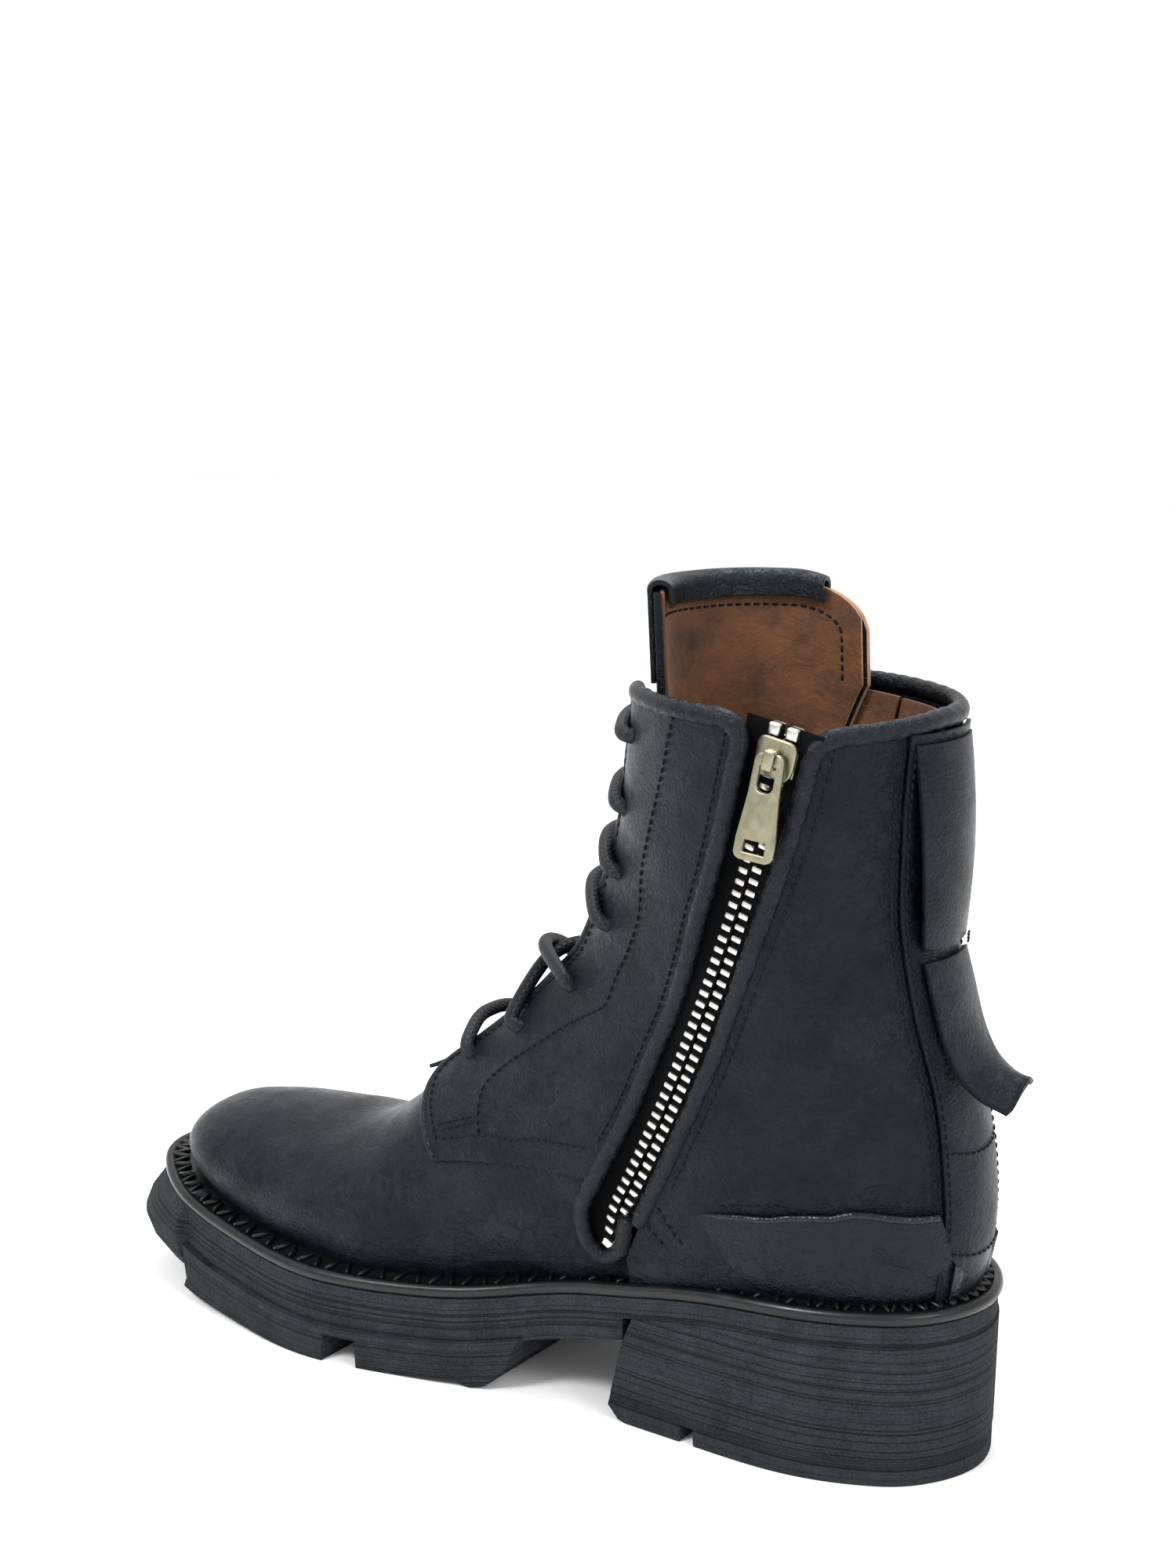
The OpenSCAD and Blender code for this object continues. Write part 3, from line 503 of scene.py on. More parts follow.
# moulded rubber with a sanded granular face: dark grey, dry, with faint layered grooves whose colour is darkened
# as painted shade
def soleRubber():
    mat, tree, bsdf, coord = newFinish("soleRubber",
                                       **{"IOR": 1.5, "Roughness": 0.82, "Specular IOR Level": 0.1})
    obj = coord.outputs["Object"]
    grit = addNode(tree, "ShaderNodeTexNoise", {"Scale": 1500, "Detail": 3, "Roughness": 0.7},
                   {"Vector": obj})
    cloud = addNode(tree, "ShaderNodeTexNoise", {"Scale": 90, "Detail": 6, "Roughness": 0.7}, {"Vector": obj})
    mixed = addNode(tree, "ShaderNodeMath", {"operation": "MULTIPLY_ADD", 1: 0.6},
                    {0: grit.outputs[0], 2: span(tree, cloud.outputs[0], 0.0, 0.4)})
    tone = blendTints(tree, mixed.outputs[0], "121416", "3a3d40")
    tone.color_ramp.elements[0].position = 0.3
    tone.color_ramp.elements[1].position = 0.72
    layer = addNode(tree, "ShaderNodeAttribute", {"attribute_name": "layerMm"})
    wobble = addNode(tree, "ShaderNodeTexNoise", {"Scale": 22, "Detail": 4}, {"Vector": obj})
    height = addNode(tree, "ShaderNodeMath", {"operation": "MULTIPLY_ADD", 1: 2.2},
                     {0: wobble.outputs[0], 2: layer.outputs["Fac"]})
    band = addNode(tree, "ShaderNodeTexNoise", {"noise_dimensions": "1D", "Scale": 0.36, "Detail": 2.0,
                                                "Roughness": 0.6}, {"W": height.outputs[0]})
    off = addNode(tree, "ShaderNodeMath", {"operation": "SUBTRACT", 1: 0.47}, {0: band.outputs[0]})
    near = addNode(tree, "ShaderNodeMath", {"operation": "ABSOLUTE"}, {0: off.outputs[0]})
    cut = span(tree, near.outputs[0], 0.25, 1.0, 0.0, 0.028)
    # painted shade: the colour is mixed towards near black 070808 along each groove line, standing in for the
    # shade down in the grooves
    paintedGrooveShade = addNode(tree, "ShaderNodeMix", {"data_type": "RGBA", 6: tint("070808")},
                    {0: cut, 7: tone.outputs[0]})
    tree.links.new(paintedGrooveShade.outputs[2], bsdf.inputs["Base Color"])
    b1 = addNode(tree, "ShaderNodeBump", {"Strength": 0.6, "Distance": 0.0004}, {"Height": grit.outputs[0]})
    b2 = addNode(tree, "ShaderNodeBump", {"Strength": 0.7, "Distance": 0.0008},
                 {"Height": cut, "Normal": b1.outputs[0]})
    tree.links.new(b2.outputs[0], bsdf.inputs["Normal"])
    return mat


# injection-moulded rubber welt, smooth from a polished mould: black with long soft highlights
def weltRubber():
    mat, tree, bsdf, coord = newFinish("weltRubber", **{"IOR": 1.52, "Specular IOR Level": 0.36})
    obj = coord.outputs["Object"]
    smear = addNode(tree, "ShaderNodeTexNoise", {"Scale": 140, "Detail": 5}, {"Vector": obj})
    tone = blendTints(tree, smear.outputs[0], "07080a", "101214")
    tree.links.new(tone.outputs[0], bsdf.inputs["Base Color"])
    tree.links.new(span(tree, smear.outputs[0], 0.2, 0.42, 0.3, 0.7), bsdf.inputs["Roughness"])
    b1 = addNode(tree, "ShaderNodeBump", {"Strength": 0.12, "Distance": 0.0004}, {"Height": smear.outputs[0]})
    tree.links.new(b1.outputs[0], bsdf.inputs["Normal"])
    return mat


# die-cast zinc with a pale nickel-brass plate, tumbled: warm silver with a soft satin and tiny pits
def platedZinc(name, dark, light, rough):
    mat, tree, bsdf, coord = newFinish(name, **{"Metallic": 1.0})
    obj = coord.outputs["Object"]
    smear = addNode(tree, "ShaderNodeTexNoise", {"Scale": 420, "Detail": 5, "Roughness": 0.6},
                    {"Vector": obj})
    tone = blendTints(tree, smear.outputs[0], dark, light)
    tree.links.new(tone.outputs[0], bsdf.inputs["Base Color"])
    tree.links.new(span(tree, smear.outputs[0], rough[0], rough[1], 0.3, 0.7), bsdf.inputs["Roughness"])
    b1 = addNode(tree, "ShaderNodeBump", {"Strength": 0.15, "Distance": 0.0002}, {"Height": smear.outputs[0]})
    tree.links.new(b1.outputs[0], bsdf.inputs["Normal"])
    return mat


# polyester zip tape, woven twill: flat black with a fine rib, drawn coarse enough to show
def wovenTape():
    mat, tree, bsdf, coord = newFinish("wovenTape", **{"Roughness": 0.85, "Specular IOR Level": 0.08})
    twill = addNode(tree, "ShaderNodeTexWave", {"Scale": 1000 / 1.2, "bands_direction": "DIAGONAL"},
                    {"Vector": coord.outputs["Object"]})
    tone = blendTints(tree, twill.outputs[0], "040405", "0d0e10")
    tree.links.new(tone.outputs[0], bsdf.inputs["Base Color"])
    b1 = addNode(tree, "ShaderNodeBump", {"Strength": 0.4, "Distance": 0.0002}, {"Height": twill.outputs[0]})
    tree.links.new(b1.outputs[0], bsdf.inputs["Normal"])
    return mat


# waxed round cotton lace, braided over a core: black with a dull shine and a herringbone of strands
def waxedLace():
    mat, tree, bsdf, coord = newFinish("waxedLace", **{"Roughness": 0.5, "Specular IOR Level": 0.25})
    uv = addNode(tree, "ShaderNodeUVMap", {"uv_map": "cut"})
    up = addNode(tree, "ShaderNodeMapping", {"Rotation": (0, 0, math.radians(38))}, {"Vector": uv.outputs[0]})
    down = addNode(tree, "ShaderNodeMapping", {"Rotation": (0, 0, math.radians(-38))},
                   {"Vector": uv.outputs[0]})
    wa = addNode(tree, "ShaderNodeTexWave", {"Scale": 1000 / 4.2}, {"Vector": up.outputs[0]})
    wb = addNode(tree, "ShaderNodeTexWave", {"Scale": 1000 / 4.2}, {"Vector": down.outputs[0]})
    both = addNode(tree, "ShaderNodeMath", {"operation": "MAXIMUM"}, {0: wa.outputs[1], 1: wb.outputs[1]})
    tone = blendTints(tree, both.outputs[0], "07080a", "191c21")
    tree.links.new(tone.outputs[0], bsdf.inputs["Base Color"])
    b1 = addNode(tree, "ShaderNodeBump", {"Strength": 0.5, "Distance": 0.0003}, {"Height": both.outputs[0]})
    tree.links.new(b1.outputs[0], bsdf.inputs["Normal"])
    return mat


# bonded nylon sewing thread, waxed: black, a little shinier than the leather, twisted plies
def sewingThread():
    mat, tree, bsdf, coord = newFinish("sewingThread", **{"Roughness": 0.5, "Specular IOR Level": 0.15})
    ply = addNode(tree, "ShaderNodeTexWave", {"Scale": 1000 / 0.7, "bands_direction": "DIAGONAL"},
                  {"Vector": coord.outputs["Object"]})
    tone = blendTints(tree, ply.outputs[0], "050506", "131417")
    tree.links.new(tone.outputs[0], bsdf.inputs["Base Color"])
    return mat


# plain hidden materials: cork granules, fibre board and rolled steel
def speckled(name, dark, light, scale, rough, metallic=0.0):
    mat, tree, bsdf, coord = newFinish(name, **{"Roughness": rough, "Metallic": metallic})
    bits = addNode(tree, "ShaderNodeTexVoronoi", {"Scale": scale}, {"Vector": coord.outputs["Object"]})
    tone = blendTints(tree, bits.outputs[0], dark, light)
    tree.links.new(tone.outputs[0], bsdf.inputs["Base Color"])
    b1 = addNode(tree, "ShaderNodeBump", {"Strength": 0.3, "Distance": 0.0004}, {"Height": bits.outputs[0]})
    tree.links.new(b1.outputs[0], bsdf.inputs["Normal"])
    return mat


sole = soleRubber()
weltBlack = weltRubber()
toothMetal = platedZinc("toothMetal", "a9a8a2", "dcdbd5", (0.2, 0.36))
pullMetal = platedZinc("pullMetal", "77745e", "a5a189", (0.3, 0.48))
tape = wovenTape()
laceFinish = waxedLace()
thread = sewingThread()
cork = speckled("corkFiller", "7a5230", "b98a58", 500, 0.9)
board = speckled("fibreBoard", "a88a63", "c4a780", 900, 0.85)
stiffener = speckled("stiffenerSheet", "b5a78a", "cfc2a8", 700, 0.8)
steel = speckled("rolledSteel", "7f8286", "a6a9ad", 250, 0.4, 1.0)
print("finishes ready")

for node, finish in dict(shank=steel, cork_filler=cork, insole_board=board, toe_puff=stiffener,
                         heel_counter=stiffener).items():
    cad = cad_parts[node]
    cad.data.materials.clear()
    cad.data.materials.append(finish)

# sole
soleShape = dict(foreHigh=23.7, heelHigh=8.2, seat=6.0, breastX=-49.2, waistZ=24.7, points=240, midHigh=13.5,
                 lugFrom=-209.5)


def prism(name, outline, vertical, low, high):
    selectNone()
    bpy.ops.mesh.primitive_circle_add(vertices=len(outline), fill_type="NGON", location=(0, 0, 0))
    obj = bpy.context.active_object
    obj.name = name
    for vert, (a, b) in zip(obj.data.vertices, outline):
        vert.co = (a, b, low) if vertical else (a, low, b)
    bpy.ops.object.mode_set(mode="EDIT")
    bpy.ops.mesh.select_all(action="SELECT")
    move = (0, 0, high - low) if vertical else (0, high - low, 0)
    bpy.ops.mesh.extrude_region_move(TRANSFORM_OT_translate={"value": move})
    bpy.ops.mesh.select_all(action="SELECT")
    bpy.ops.mesh.normals_make_consistent(inside=False)
    bpy.ops.object.mode_set(mode="OBJECT")
    return obj


def selectNone():
    if bpy.context.mode != "OBJECT":
        bpy.ops.object.mode_set(mode="OBJECT")
    bpy.ops.object.select_all(action="DESELECT")


def cutWith(obj, cutter, how):
    modify(obj, "BOOLEAN", object=cutter, operation=how, solver="EXACT")
    bpy.data.objects.remove(cutter)


def soleOutline(d):
    s = np.arange(soleShape["points"]) / soleShape["points"]
    return rim(s, np.full(len(s), float(d)))


def deckLine(a, b, n, h):
    x = np.linspace(a, b, n)
    return np.stack([x, topZ(x) + h], -1)


def solePiece(name, inset, profile, high, notches, nodes, finish, soft=0.7, onDeck=True):
    obj = prism(name, soleOutline(inset), True, -2, high)
    cutWith(obj, prism("profile", profile, False, -80, 80), "INTERSECT")
    for x0, x1, z1 in notches:
        cutWith(obj, prism("notch", np.array([[x0, -4], [x1, -4], [x1 - 0.6, z1], [x0 + 0.6, z1]]), False,
                           -80, 80),
                "DIFFERENCE")
    obj.data.transform(Matrix.Scale(0.001, 4))
    modify(obj, "BEVEL", width=soft * 0.001, segments=3, limit_method="ANGLE", angle_limit=math.radians(35))
    layer = obj.data.attributes.new("layerMm", "FLOAT", "POINT")
    co = np.array([v.co for v in obj.data.vertices]) * 1000
    base = topZ(co[:, 0]) if onDeck else 0 * co[:, 0]
    layer.data.foreach_set("value", (co[:, 2] - base).astype(np.float32))
    smoothShade(obj, 30)
    return place(obj, finish, nodes)


lugX = np.linspace(-91.5, soleShape["lugFrom"], 14)
# upper band of the sole unit, then the lugs standing a little proud below it
bandProfile = np.concatenate([
    deckLine(58, -244, 60, 0), deckLine(-244, -62, 40, -soleShape["midHigh"]),
    [[soleShape["breastX"], soleShape["waistZ"]]],
    deckLine(soleShape["breastX"], 58, 14, -soleShape["seat"])])
solePiece("outsole", 0.8, bandProfile, 90, [], ["outsole"], sole)
lugProfile = np.concatenate([
    [[-82.4, 17.3], [-86.8, 7.5], [-92.5, 1.2], [-97, 0.1]],
    np.stack([lugX[1:], np.maximum(0, 0.55 * (topZ(lugX[1:]) - soleShape["foreHigh"]))], -1),
    [[-207.5, 7], [soleShape["lugFrom"], 16]],
    deckLine(soleShape["lugFrom"], -84, 24, 0.6 - soleShape["midHigh"])])
solePiece("forepartLugs", -1.3, lugProfile, 40, [(-144, -132, 8.5)], ["outsole"], sole)
heelProfile = np.concatenate([[[58, soleShape["heelHigh"] + 0.1]],
                              deckLine(58, soleShape["breastX"] + 3.4, 24, -soleShape["seat"] - 0.1),
                              [[soleShape["breastX"] + 0.2, 24.3], [-52.9, soleShape["heelHigh"] + 0.1]]])
solePiece("heelBlock", 0.3, heelProfile, 90, [], ["heel_block"], sole, onDeck=False)
solePiece("heelTopLift", 0.5, np.array([[58, 0], [58, 8.2], [-53, 8.2], [-54, 4], [-50.5, 0.6], [-48, 0]]),
          soleShape["heelHigh"], [(-30, -25, 5)], ["heel_top_lift"], sole, onDeck=False)


# toe lug: a bumper that bulges past the outline, widest a third of the way down
def toeLug():
    levels = [(34.0, 0.2, 0.9), (31.5, 2.2, 0.4), (26, 6.2, -0.2), (20.5, 8.6, -0.4), (15, 6.4, -0.2),
              (10, 2.2, 0.6),
              (7.6, -0.6, 2.2)]
    s = np.linspace(spanAt(-209, 1), spanAt(-209, -1), 64)
    rows = []
    for z, ahead, inset in levels:
        p = rim(s, np.full(len(s), float(inset)))
        reach = np.clip((-206 - p[:, 0]) / 14, 0, 1)
        rows.append(np.stack([p[:, 0] - ahead * reach, p[:, 1] * (1 + 0.006 * ahead), np.full(len(s), z)],
                             -1))
    pts = np.array(rows)
    back = pts.copy()
    back[..., 0] = np.maximum(pts[..., 0] + 9, -206)
    back[..., 1] *= 0.86
    ring = np.concatenate([pts, back[::-1]], 0)
    n, m = ring.shape[:2]
    faces = [[i * m + j, i * m + j + 1, ((i + 1) % n) * m + j + 1, ((i + 1) % n) * m + j]
             for i in range(n) for j in range(m - 1)]
    faces += [[i * m for i in range(n)], [i * m + m - 1 for i in range(n)][::-1]]
    obj = makeObject("toeLug", ring.reshape(-1, 3), faces)
    outwardFaces(obj)
    modify(obj, "BEVEL", width=0.0009, segments=3, limit_method="ANGLE", angle_limit=math.radians(40))
    layer = obj.data.attributes.new("layerMm", "FLOAT", "POINT")
    co = np.array([v.co for v in obj.data.vertices]) * 1000
    layer.data.foreach_set("value", (co[:, 2] - topZ(co[:, 0])).astype(np.float32))
    smoothShade(obj, 35)
    place(obj, sole, ["outsole"])


def outwardFaces(obj):
    selectOnly(obj)
    bpy.ops.object.mode_set(mode="EDIT")
    bpy.ops.mesh.select_all(action="SELECT")
    bpy.ops.mesh.normals_make_consistent(inside=False)
    bpy.ops.object.mode_set(mode="OBJECT")


# place along the outline where it passes x, on the side of y's sign
def spanAt(x, side):
    s = np.linspace(0, 1, 4001)
    p = spline(edge, s, True)
    hit = np.where(p[:, 1] * side > 0, np.abs(p[:, 0] - x), 1e9)
    return s[np.argmin(hit)]


toeLug()
print("sole ready")


# welt: one ring of edges drawn round the outline, extruded step by step through the section and bridged shut
def sweepRound(name, section, count, finish, nodes):
    s = np.arange(count) / count
    selectNone()
    bpy.ops.mesh.primitive_circle_add(vertices=count, fill_type="NOTHING", location=(0, 0, 0))
    obj = bpy.context.active_object
    obj.name = name
    for i, (d, h) in enumerate(section):
        if i:
            bpy.ops.object.mode_set(mode="EDIT")
            bpy.ops.mesh.extrude_edges_move()
            bpy.ops.object.mode_set(mode="OBJECT")
        else:
            bpy.ops.object.mode_set(mode="EDIT")
            bpy.ops.mesh.select_all(action="SELECT")
            bpy.ops.object.mode_set(mode="OBJECT")
        ring = [v for v in obj.data.vertices if v.select]
        p = rim(s, np.full(count, float(d)))
        z = topZ(p[:, 0]) + h
        for v, (x, y), height in zip(ring, p, z):
            v.co = (x * 0.001, y * 0.001, height * 0.001)
    bpy.ops.object.mode_set(mode="EDIT")
    bpy.ops.mesh.select_all(action="DESELECT")
    bpy.ops.mesh.select_mode(type="EDGE")
    bpy.ops.mesh.select_non_manifold()
    bpy.ops.mesh.bridge_edge_loops()
    bpy.ops.mesh.select_all(action="SELECT")
    bpy.ops.mesh.normals_make_consistent(inside=False)
    bpy.ops.mesh.select_mode(type="VERT")
    bpy.ops.object.mode_set(mode="OBJECT")
    smoothShade(obj, 50)
    return place(obj, finish, nodes)


# a round smooth lip outside, then the flat shelf that carries the stitches up to the leather
sweepRound("welt", [(1.3, 0.05), (0.7, 0.35), (0.1, 0.9), (-0.35, 1.9), (-0.25, 2.9), (0.3, 3.7), (1.1, 4.1),
                    (2.0, 4.0), (2.6, 3.6), (3.0, 3.35), (4.6, 3.6), (6.6, 4.1), (8.8, 4.5), (13.2, 4.6),
                    (13.2, 0.05)], 320,
           weltBlack, ["welt"])
weltStitch = dict(count=158, outer=2.3, inner=7.4, wide=1.15, high=1.35, lean=24)


def weltBars():
    pts, faces = [], []
    ring = [(-0.5, -0.25), (-0.5, 0.2), (-0.25, 0.5), (0.25, 0.5), (0.5, 0.2), (0.5, -0.25)]
    for i in range(weltStitch["count"]):
        s = i / weltStitch["count"]
        a, b = rim(np.array(s), np.array(weltStitch["outer"])), rim(np.array(s),
                                                                    np.array(weltStitch["inner"]))
        t = unit(spline(edge, np.array(s + 0.002), True) - spline(edge, np.array(s - 0.002), True))
        lean = math.tan(math.radians(weltStitch["lean"])) * 2.2 * (1 if i % 2 else -1)
        a, b = a - t * lean, b + t * lean
        p = np.array([a[0], a[1], topZ(a[0]) + 3.95])
        q = np.array([b[0], b[1], topZ(b[0]) + 4.7])
        d = unit(q - p)
        side = unit(np.cross(d, [0, 0, 1.0]))
        up = np.cross(side, d)
        base = len(pts)
        for r, e in ((0, 0.35), (0.12, 0.85), (0.5, 1.0), (0.88, 0.85), (1, 0.35)):
            for x, y in ring:
                pts.append(p + (q - p) * r + side * x * weltStitch["wide"] * e + up * (y * e) * weltStitch["high"])
        for k in range(4):
            for j in range(6):
                m = (j + 1) % 6
                faces.append([base + k * 6 + j, base + k * 6 + m, base + k * 6 + 6 + m, base + k * 6 + 6 + j])
        faces.append([base + j for j in range(6)][::-1])
        faces.append([base + 24 + j for j in range(6)])
    obj = makeObject("weltStitching", np.array(pts), faces)
    smoothShade(obj, 60)
    place(obj, weltBlack, ["welt_stitching"])


weltBars()


# removable sock: a leather sheet over the board, drawn in from the outline
def footbed():
    obj = prism("footbedSock", soleOutline(14.8), True, 20, 70)
    profile = np.concatenate([deckLine(54, -208, 50, 7.0), deckLine(-208, 54, 50, 5.4)])
    cutWith(obj, prism("profile", profile, False, -80, 80), "INTERSECT")
    obj.data.transform(Matrix.Scale(0.001, 4))
    modify(obj, "BEVEL", width=0.0005, segments=2, limit_method="ANGLE", angle_limit=math.radians(35))
    smoothShade(obj, 40)
    place(obj, tanLining, ["footbed_sock"])


footbed()
print("welt ready")

# upper
layers = dict(vampOut=0.0, vampThick=1.2, panelOut=1.7, panelThick=1.3, overOut=3.2, overThick=1.2,
              lineOut=-3.0, lineThick=1.0, hem=0.965)
faceEdge = np.array([[20, 0.13], [18.6, 0.13], [17.2, 0.13], [15.8, 0.13], [14.4, 0.135], [13, 0.14],
                     [11.6, 0.15],
                     [10.2, 0.165], [9, 0.185], [8.1, 0.2], [7.8, 0.3], [7.8, 0.54]])
rearEdge = np.array([[20, 0.9], [18.5, 0.9], [17, 0.9], [15.5, 0.9], [14.6, 0.9], [14.1, 0.93]])
vampEnd = dict(v=[-0.965, -0.93, -0.905, -0.858, -0.8, -0.74, -0.68, -0.58, -0.386, -0.19, 0, 0.19, 0.386,
                  0.58, 0.965],
               u=[11.1, 10.9, 9.55, 9.3, 9.45, 9.75, 10.15, 9.7, 8.95, 8.3, 7.6, 8.3, 8.95, 10.3, 10.9])
liningEnd = dict(v=[-0.965, -0.58, -0.386, -0.19, 0, 0.19, 0.386, 0.58, 0.965],
                 u=[8.3, 8.7, 8.2, 7.7, 7, 7.7, 8.2, 8.7, 8.3])
zipFrontEnd, zipRearEnd = -26.6, -28.2


def vampSheet(name, n, m, back, fore, out, thick, finish, nodes, skirt=()):
    s = np.linspace(0, 1, n)[:, None]
    t = np.linspace(0, 1, m)[None, :]
    v = -layers["hem"] + 2 * layers["hem"] * t
    end = np.interp(v, back["v"], back["u"])
    uv = np.stack([fore + (end - fore) * s, np.broadcast_to(-layers["hem"] + 2 * layers["hem"] * t,
                                                            (n, m))], -1)
    return leather(name, uv, np.full((n, m), float(out)), thick, finish, nodes, skirt=skirt)


vampSheet("vamp", 150, 150, vampEnd, 0.06, layers["vampOut"], layers["vampThick"], upperLeather, ["vamp"],
          skirt=("low", "high"))
vampSheet("vampLining", 60, 70, liningEnd, 0.5, layers["lineOut"], layers["lineThick"], tanLining,
          ["vamp_lining"])

zipFront = zipLine(-9.6, -1, arc["top"], zipFrontEnd, 50)
zipRear = zipLine(8.6, -1, arc["top"], zipRearEnd, 50)
panel("medialFrontQuarter", mirrorV(faceEdge), zipFront, 190, 70, layers["panelOut"], layers["panelThick"],
      upperLeather, ["medial_front_quarter"])
panel("lateralFrontQuarter", faceEdge, zipLine(-1, 1, arc["top"], zipFrontEnd, 50), 190, 80,
      layers["panelOut"], layers["panelThick"], upperLeather, ["lateral_front_quarter"])
panel("medialRearQuarter", zipRear, mirrorV(rearEdge), 180, 90, layers["panelOut"], layers["panelThick"],
      upperLeather, ["medial_rear_quarter"], skirt=("end",))


# the lateral quarter's lower front corner thins into the vamp and goes down inside the welt
def cornerFade(s, t):
    return -1.25 * np.clip((s - 0.68) / 0.12, 0, 1) * np.clip(1 - t / 0.3, 0, 1)


lateralFront = zipLine(-3.2, 1, arc["top"], zipRearEnd, 50)
lateralFront = np.concatenate([lateralFront, np.linspace(lateralFront[-1], [9.9, layers["hem"]], 9)[1:]])
panel("lateralRearQuarter", lateralFront, rearEdge, 180, 90,
      layers["panelOut"] - 0.35, layers["panelThick"], upperLeather, ["lateral_rear_quarter"],
      fade=cornerFade, skirt=("end",))


def coverTop(side):
    return np.concatenate([seen(np.array([-26.0, -20.4, -14, -6, 0, 7.9, 14, 20.6]),
                                np.array([67.3, 69.2, 70.2, 71.2, 72.2, 73.4, 74.3, 75.1]), side),
                           [[14.84, side * 0.862]]])


# the counter cover melts into the quarter in front and has a rolled ridge along its top
def coverFade(s, t):
    return -1.9 * np.clip(1 - s / 0.34, 0, 1) ** 1.3 + 0 * t


coverLow = np.array([[10.6, 0.965], [11.5, 0.965], [12.5, 0.965], [13.6, 0.96], [14.2, 0.9]])
for side, label, node in ((-1, "medialCounterCover", "medial_counter_cover"),
                          (1, "lateralCounterCover", "lateral_counter_cover")):
    panel(label, coverTop(side), coverLow * [1, side], 90, 50, layers["overOut"], layers["overThick"],
          counterLeather, [node], fade=coverFade, skirt=("high",))
    ridge = spline(coverTop(side), np.linspace(0.02, 1, 120))
    lift = np.interp(np.linspace(0.02, 1, 120), [0, 0.34, 1], [1.0, 2.7, 2.9])
    thin = np.interp(np.linspace(0, 1, 120), [0, 0.25, 1], [0.25, 0.9, 1.15])
    tube(label + "Ridge", skin(ridge, lift), thin, thin, polishedLeather, (), sides=10)
stripU = np.array([19.9, 18, 16, 14.25])
panel("backStrip", np.stack([stripU, stripU * 0 - 0.872], -1), np.stack([stripU, stripU * 0 - 1.128], -1),
      150, 40,
      layers["overOut"], layers["overThick"], upperLeather, ["back_strip"],
      skirt=("end",))

lineEdge = np.array([[19.9, 0.3], [18, 0.3], [16, 0.3], [14, 0.3], [12, 0.31], [10.4, 0.33], [9.4, 0.4],
                     [9.2, 0.6]])
backLine = np.array([19.9, 18, 16, 14.6, 14.2])
panel("medialFrontLining", mirrorV(lineEdge), zipLine(-12.4, -1, arc["top"], zipFrontEnd, 30), 60, 24,
      layers["lineOut"], layers["lineThick"], tanLining, ["medial_front_lining"], soft=0.2)
panel("lateralFrontLining", lineEdge, zipLine(0, 1, arc["top"], zipFrontEnd, 30), 60, 30, layers["lineOut"],
      layers["lineThick"], tanLining, ["lateral_front_lining"], soft=0.2)
panel("medialRearLining", zipLine(12, -1, arc["top"], zipRearEnd, 30),
      np.stack([backLine, backLine * 0 - 0.998], -1), 60, 40, layers["lineOut"], layers["lineThick"],
      tanLining,
      ["medial_rear_lining"], soft=0.2)
panel("lateralRearLining", zipLine(1.4, 1, arc["top"], zipRearEnd, 30),
      np.stack([backLine, backLine * 0 + 0.993], -1), 60, 40, layers["lineOut"], layers["lineThick"],
      tanLining,
      ["lateral_rear_lining"], soft=0.2)
print("panels ready")

# rolled edge: one band of folded leather from the facing's foot, along the collar, down beside the zip
rolled = dict(lift=1.0)


# smooths a path of points, so its corners turn on a radius, and spaces them evenly
def eased(points, values, step, reach):
    run = lengths(points, 0)
    s = np.arange(0, run[-1], step)
    both = np.column_stack([points, values])
    even = np.stack([np.interp(s, run, both[:, k]) for k in range(both.shape[1])], -1)
    kernel = np.exp(-(np.arange(-3 * reach, 3 * reach + 1) / reach) ** 2 / 2)
    wide = np.concatenate([np.repeat(even[:1], 3 * reach, 0), even, np.repeat(even[-1:], 3 * reach, 0)])
    out = np.stack([np.convolve(wide[:, k], kernel / kernel.sum(), "valid") for k in range(even.shape[1])],
                   -1)
    return out


def rolledBand(name, legs, nodes):
    points, sizes, normals = [], [], []
    for uvList, count, off, lift, size in legs:
        uv = spline(uvList, np.linspace(0, 1, count))
        points.append(skin(uv, off) + [0, 0, lift])
        up = np.zeros((count, 3)) + [0, 0, 1]
        normals.append(outward(uv[:, 0], uv[:, 1]) if lift == 0 else up * 0.5 + outward(uv[:, 0], uv[:, 1]))
        sizes.append(np.interp(np.linspace(0, 1, count), np.linspace(0, 1, len(size)), size))
    data = np.column_stack([np.concatenate(sizes), np.concatenate(normals)])
    out = eased(np.concatenate(points), data, 0.7, 3)
    wrinkle = 1 + 0.05 * np.sin(np.arange(len(out)) * 0.9 + 2 * np.sin(np.arange(len(out)) * 0.13))
    tube(name, out[:, :3], out[:, 3] * wrinkle, out[:, 3] * 0.86, rolledLeather, nodes, normals=out[:, 4:7],
         sides=18)


faceLine = np.array([[7.85, 0.545], [7.8, 0.42], [7.82, 0.3], [8.0, 0.215], [8.6, 0.185], [9.6, 0.165],
                     [11, 0.145],
                     [12.8, 0.13], [14.4, 0.122], [16, 0.118], [18, 0.118], [19.6, 0.12]])
zipFoot = np.array([[9.68, -0.741], [9.42, -0.800], [9.26, -0.858], [9.26, -0.911], [9.59, -0.883],
                    [9.88, -0.826],
                    [10.17, -0.775]])
frontLine = np.concatenate([zipLine(-8.8, -1, arc["top"] - 0.25, -25.9, 40), zipFoot])
rearLine = zipLine(7.9, -1, -27.0, arc["top"] - 0.25, 40)
thinFacing = [1.0, 1.3, 1.45, 1.45]
rolledBand("frontRolledEdge", [
    (mirrorV(faceLine), 220, 1.2, 0, thinFacing),
    (np.array([[20, -0.15], [20, -0.28], [20, -0.4], [20, -0.52]]), 60, 0.5, rolled["lift"], [2.4, 2.6]),
    (frontLine, 260, 1.0, 0, [2.5, 2.5])],
    ["facing_binding_medial", "collar_binding_front", "zip_piping_front"])
collarRear = np.stack([np.interp(np.arange(14), [0, 3], [19.8, 20.0]), -np.linspace(0.72, 1.86, 14)], -1)
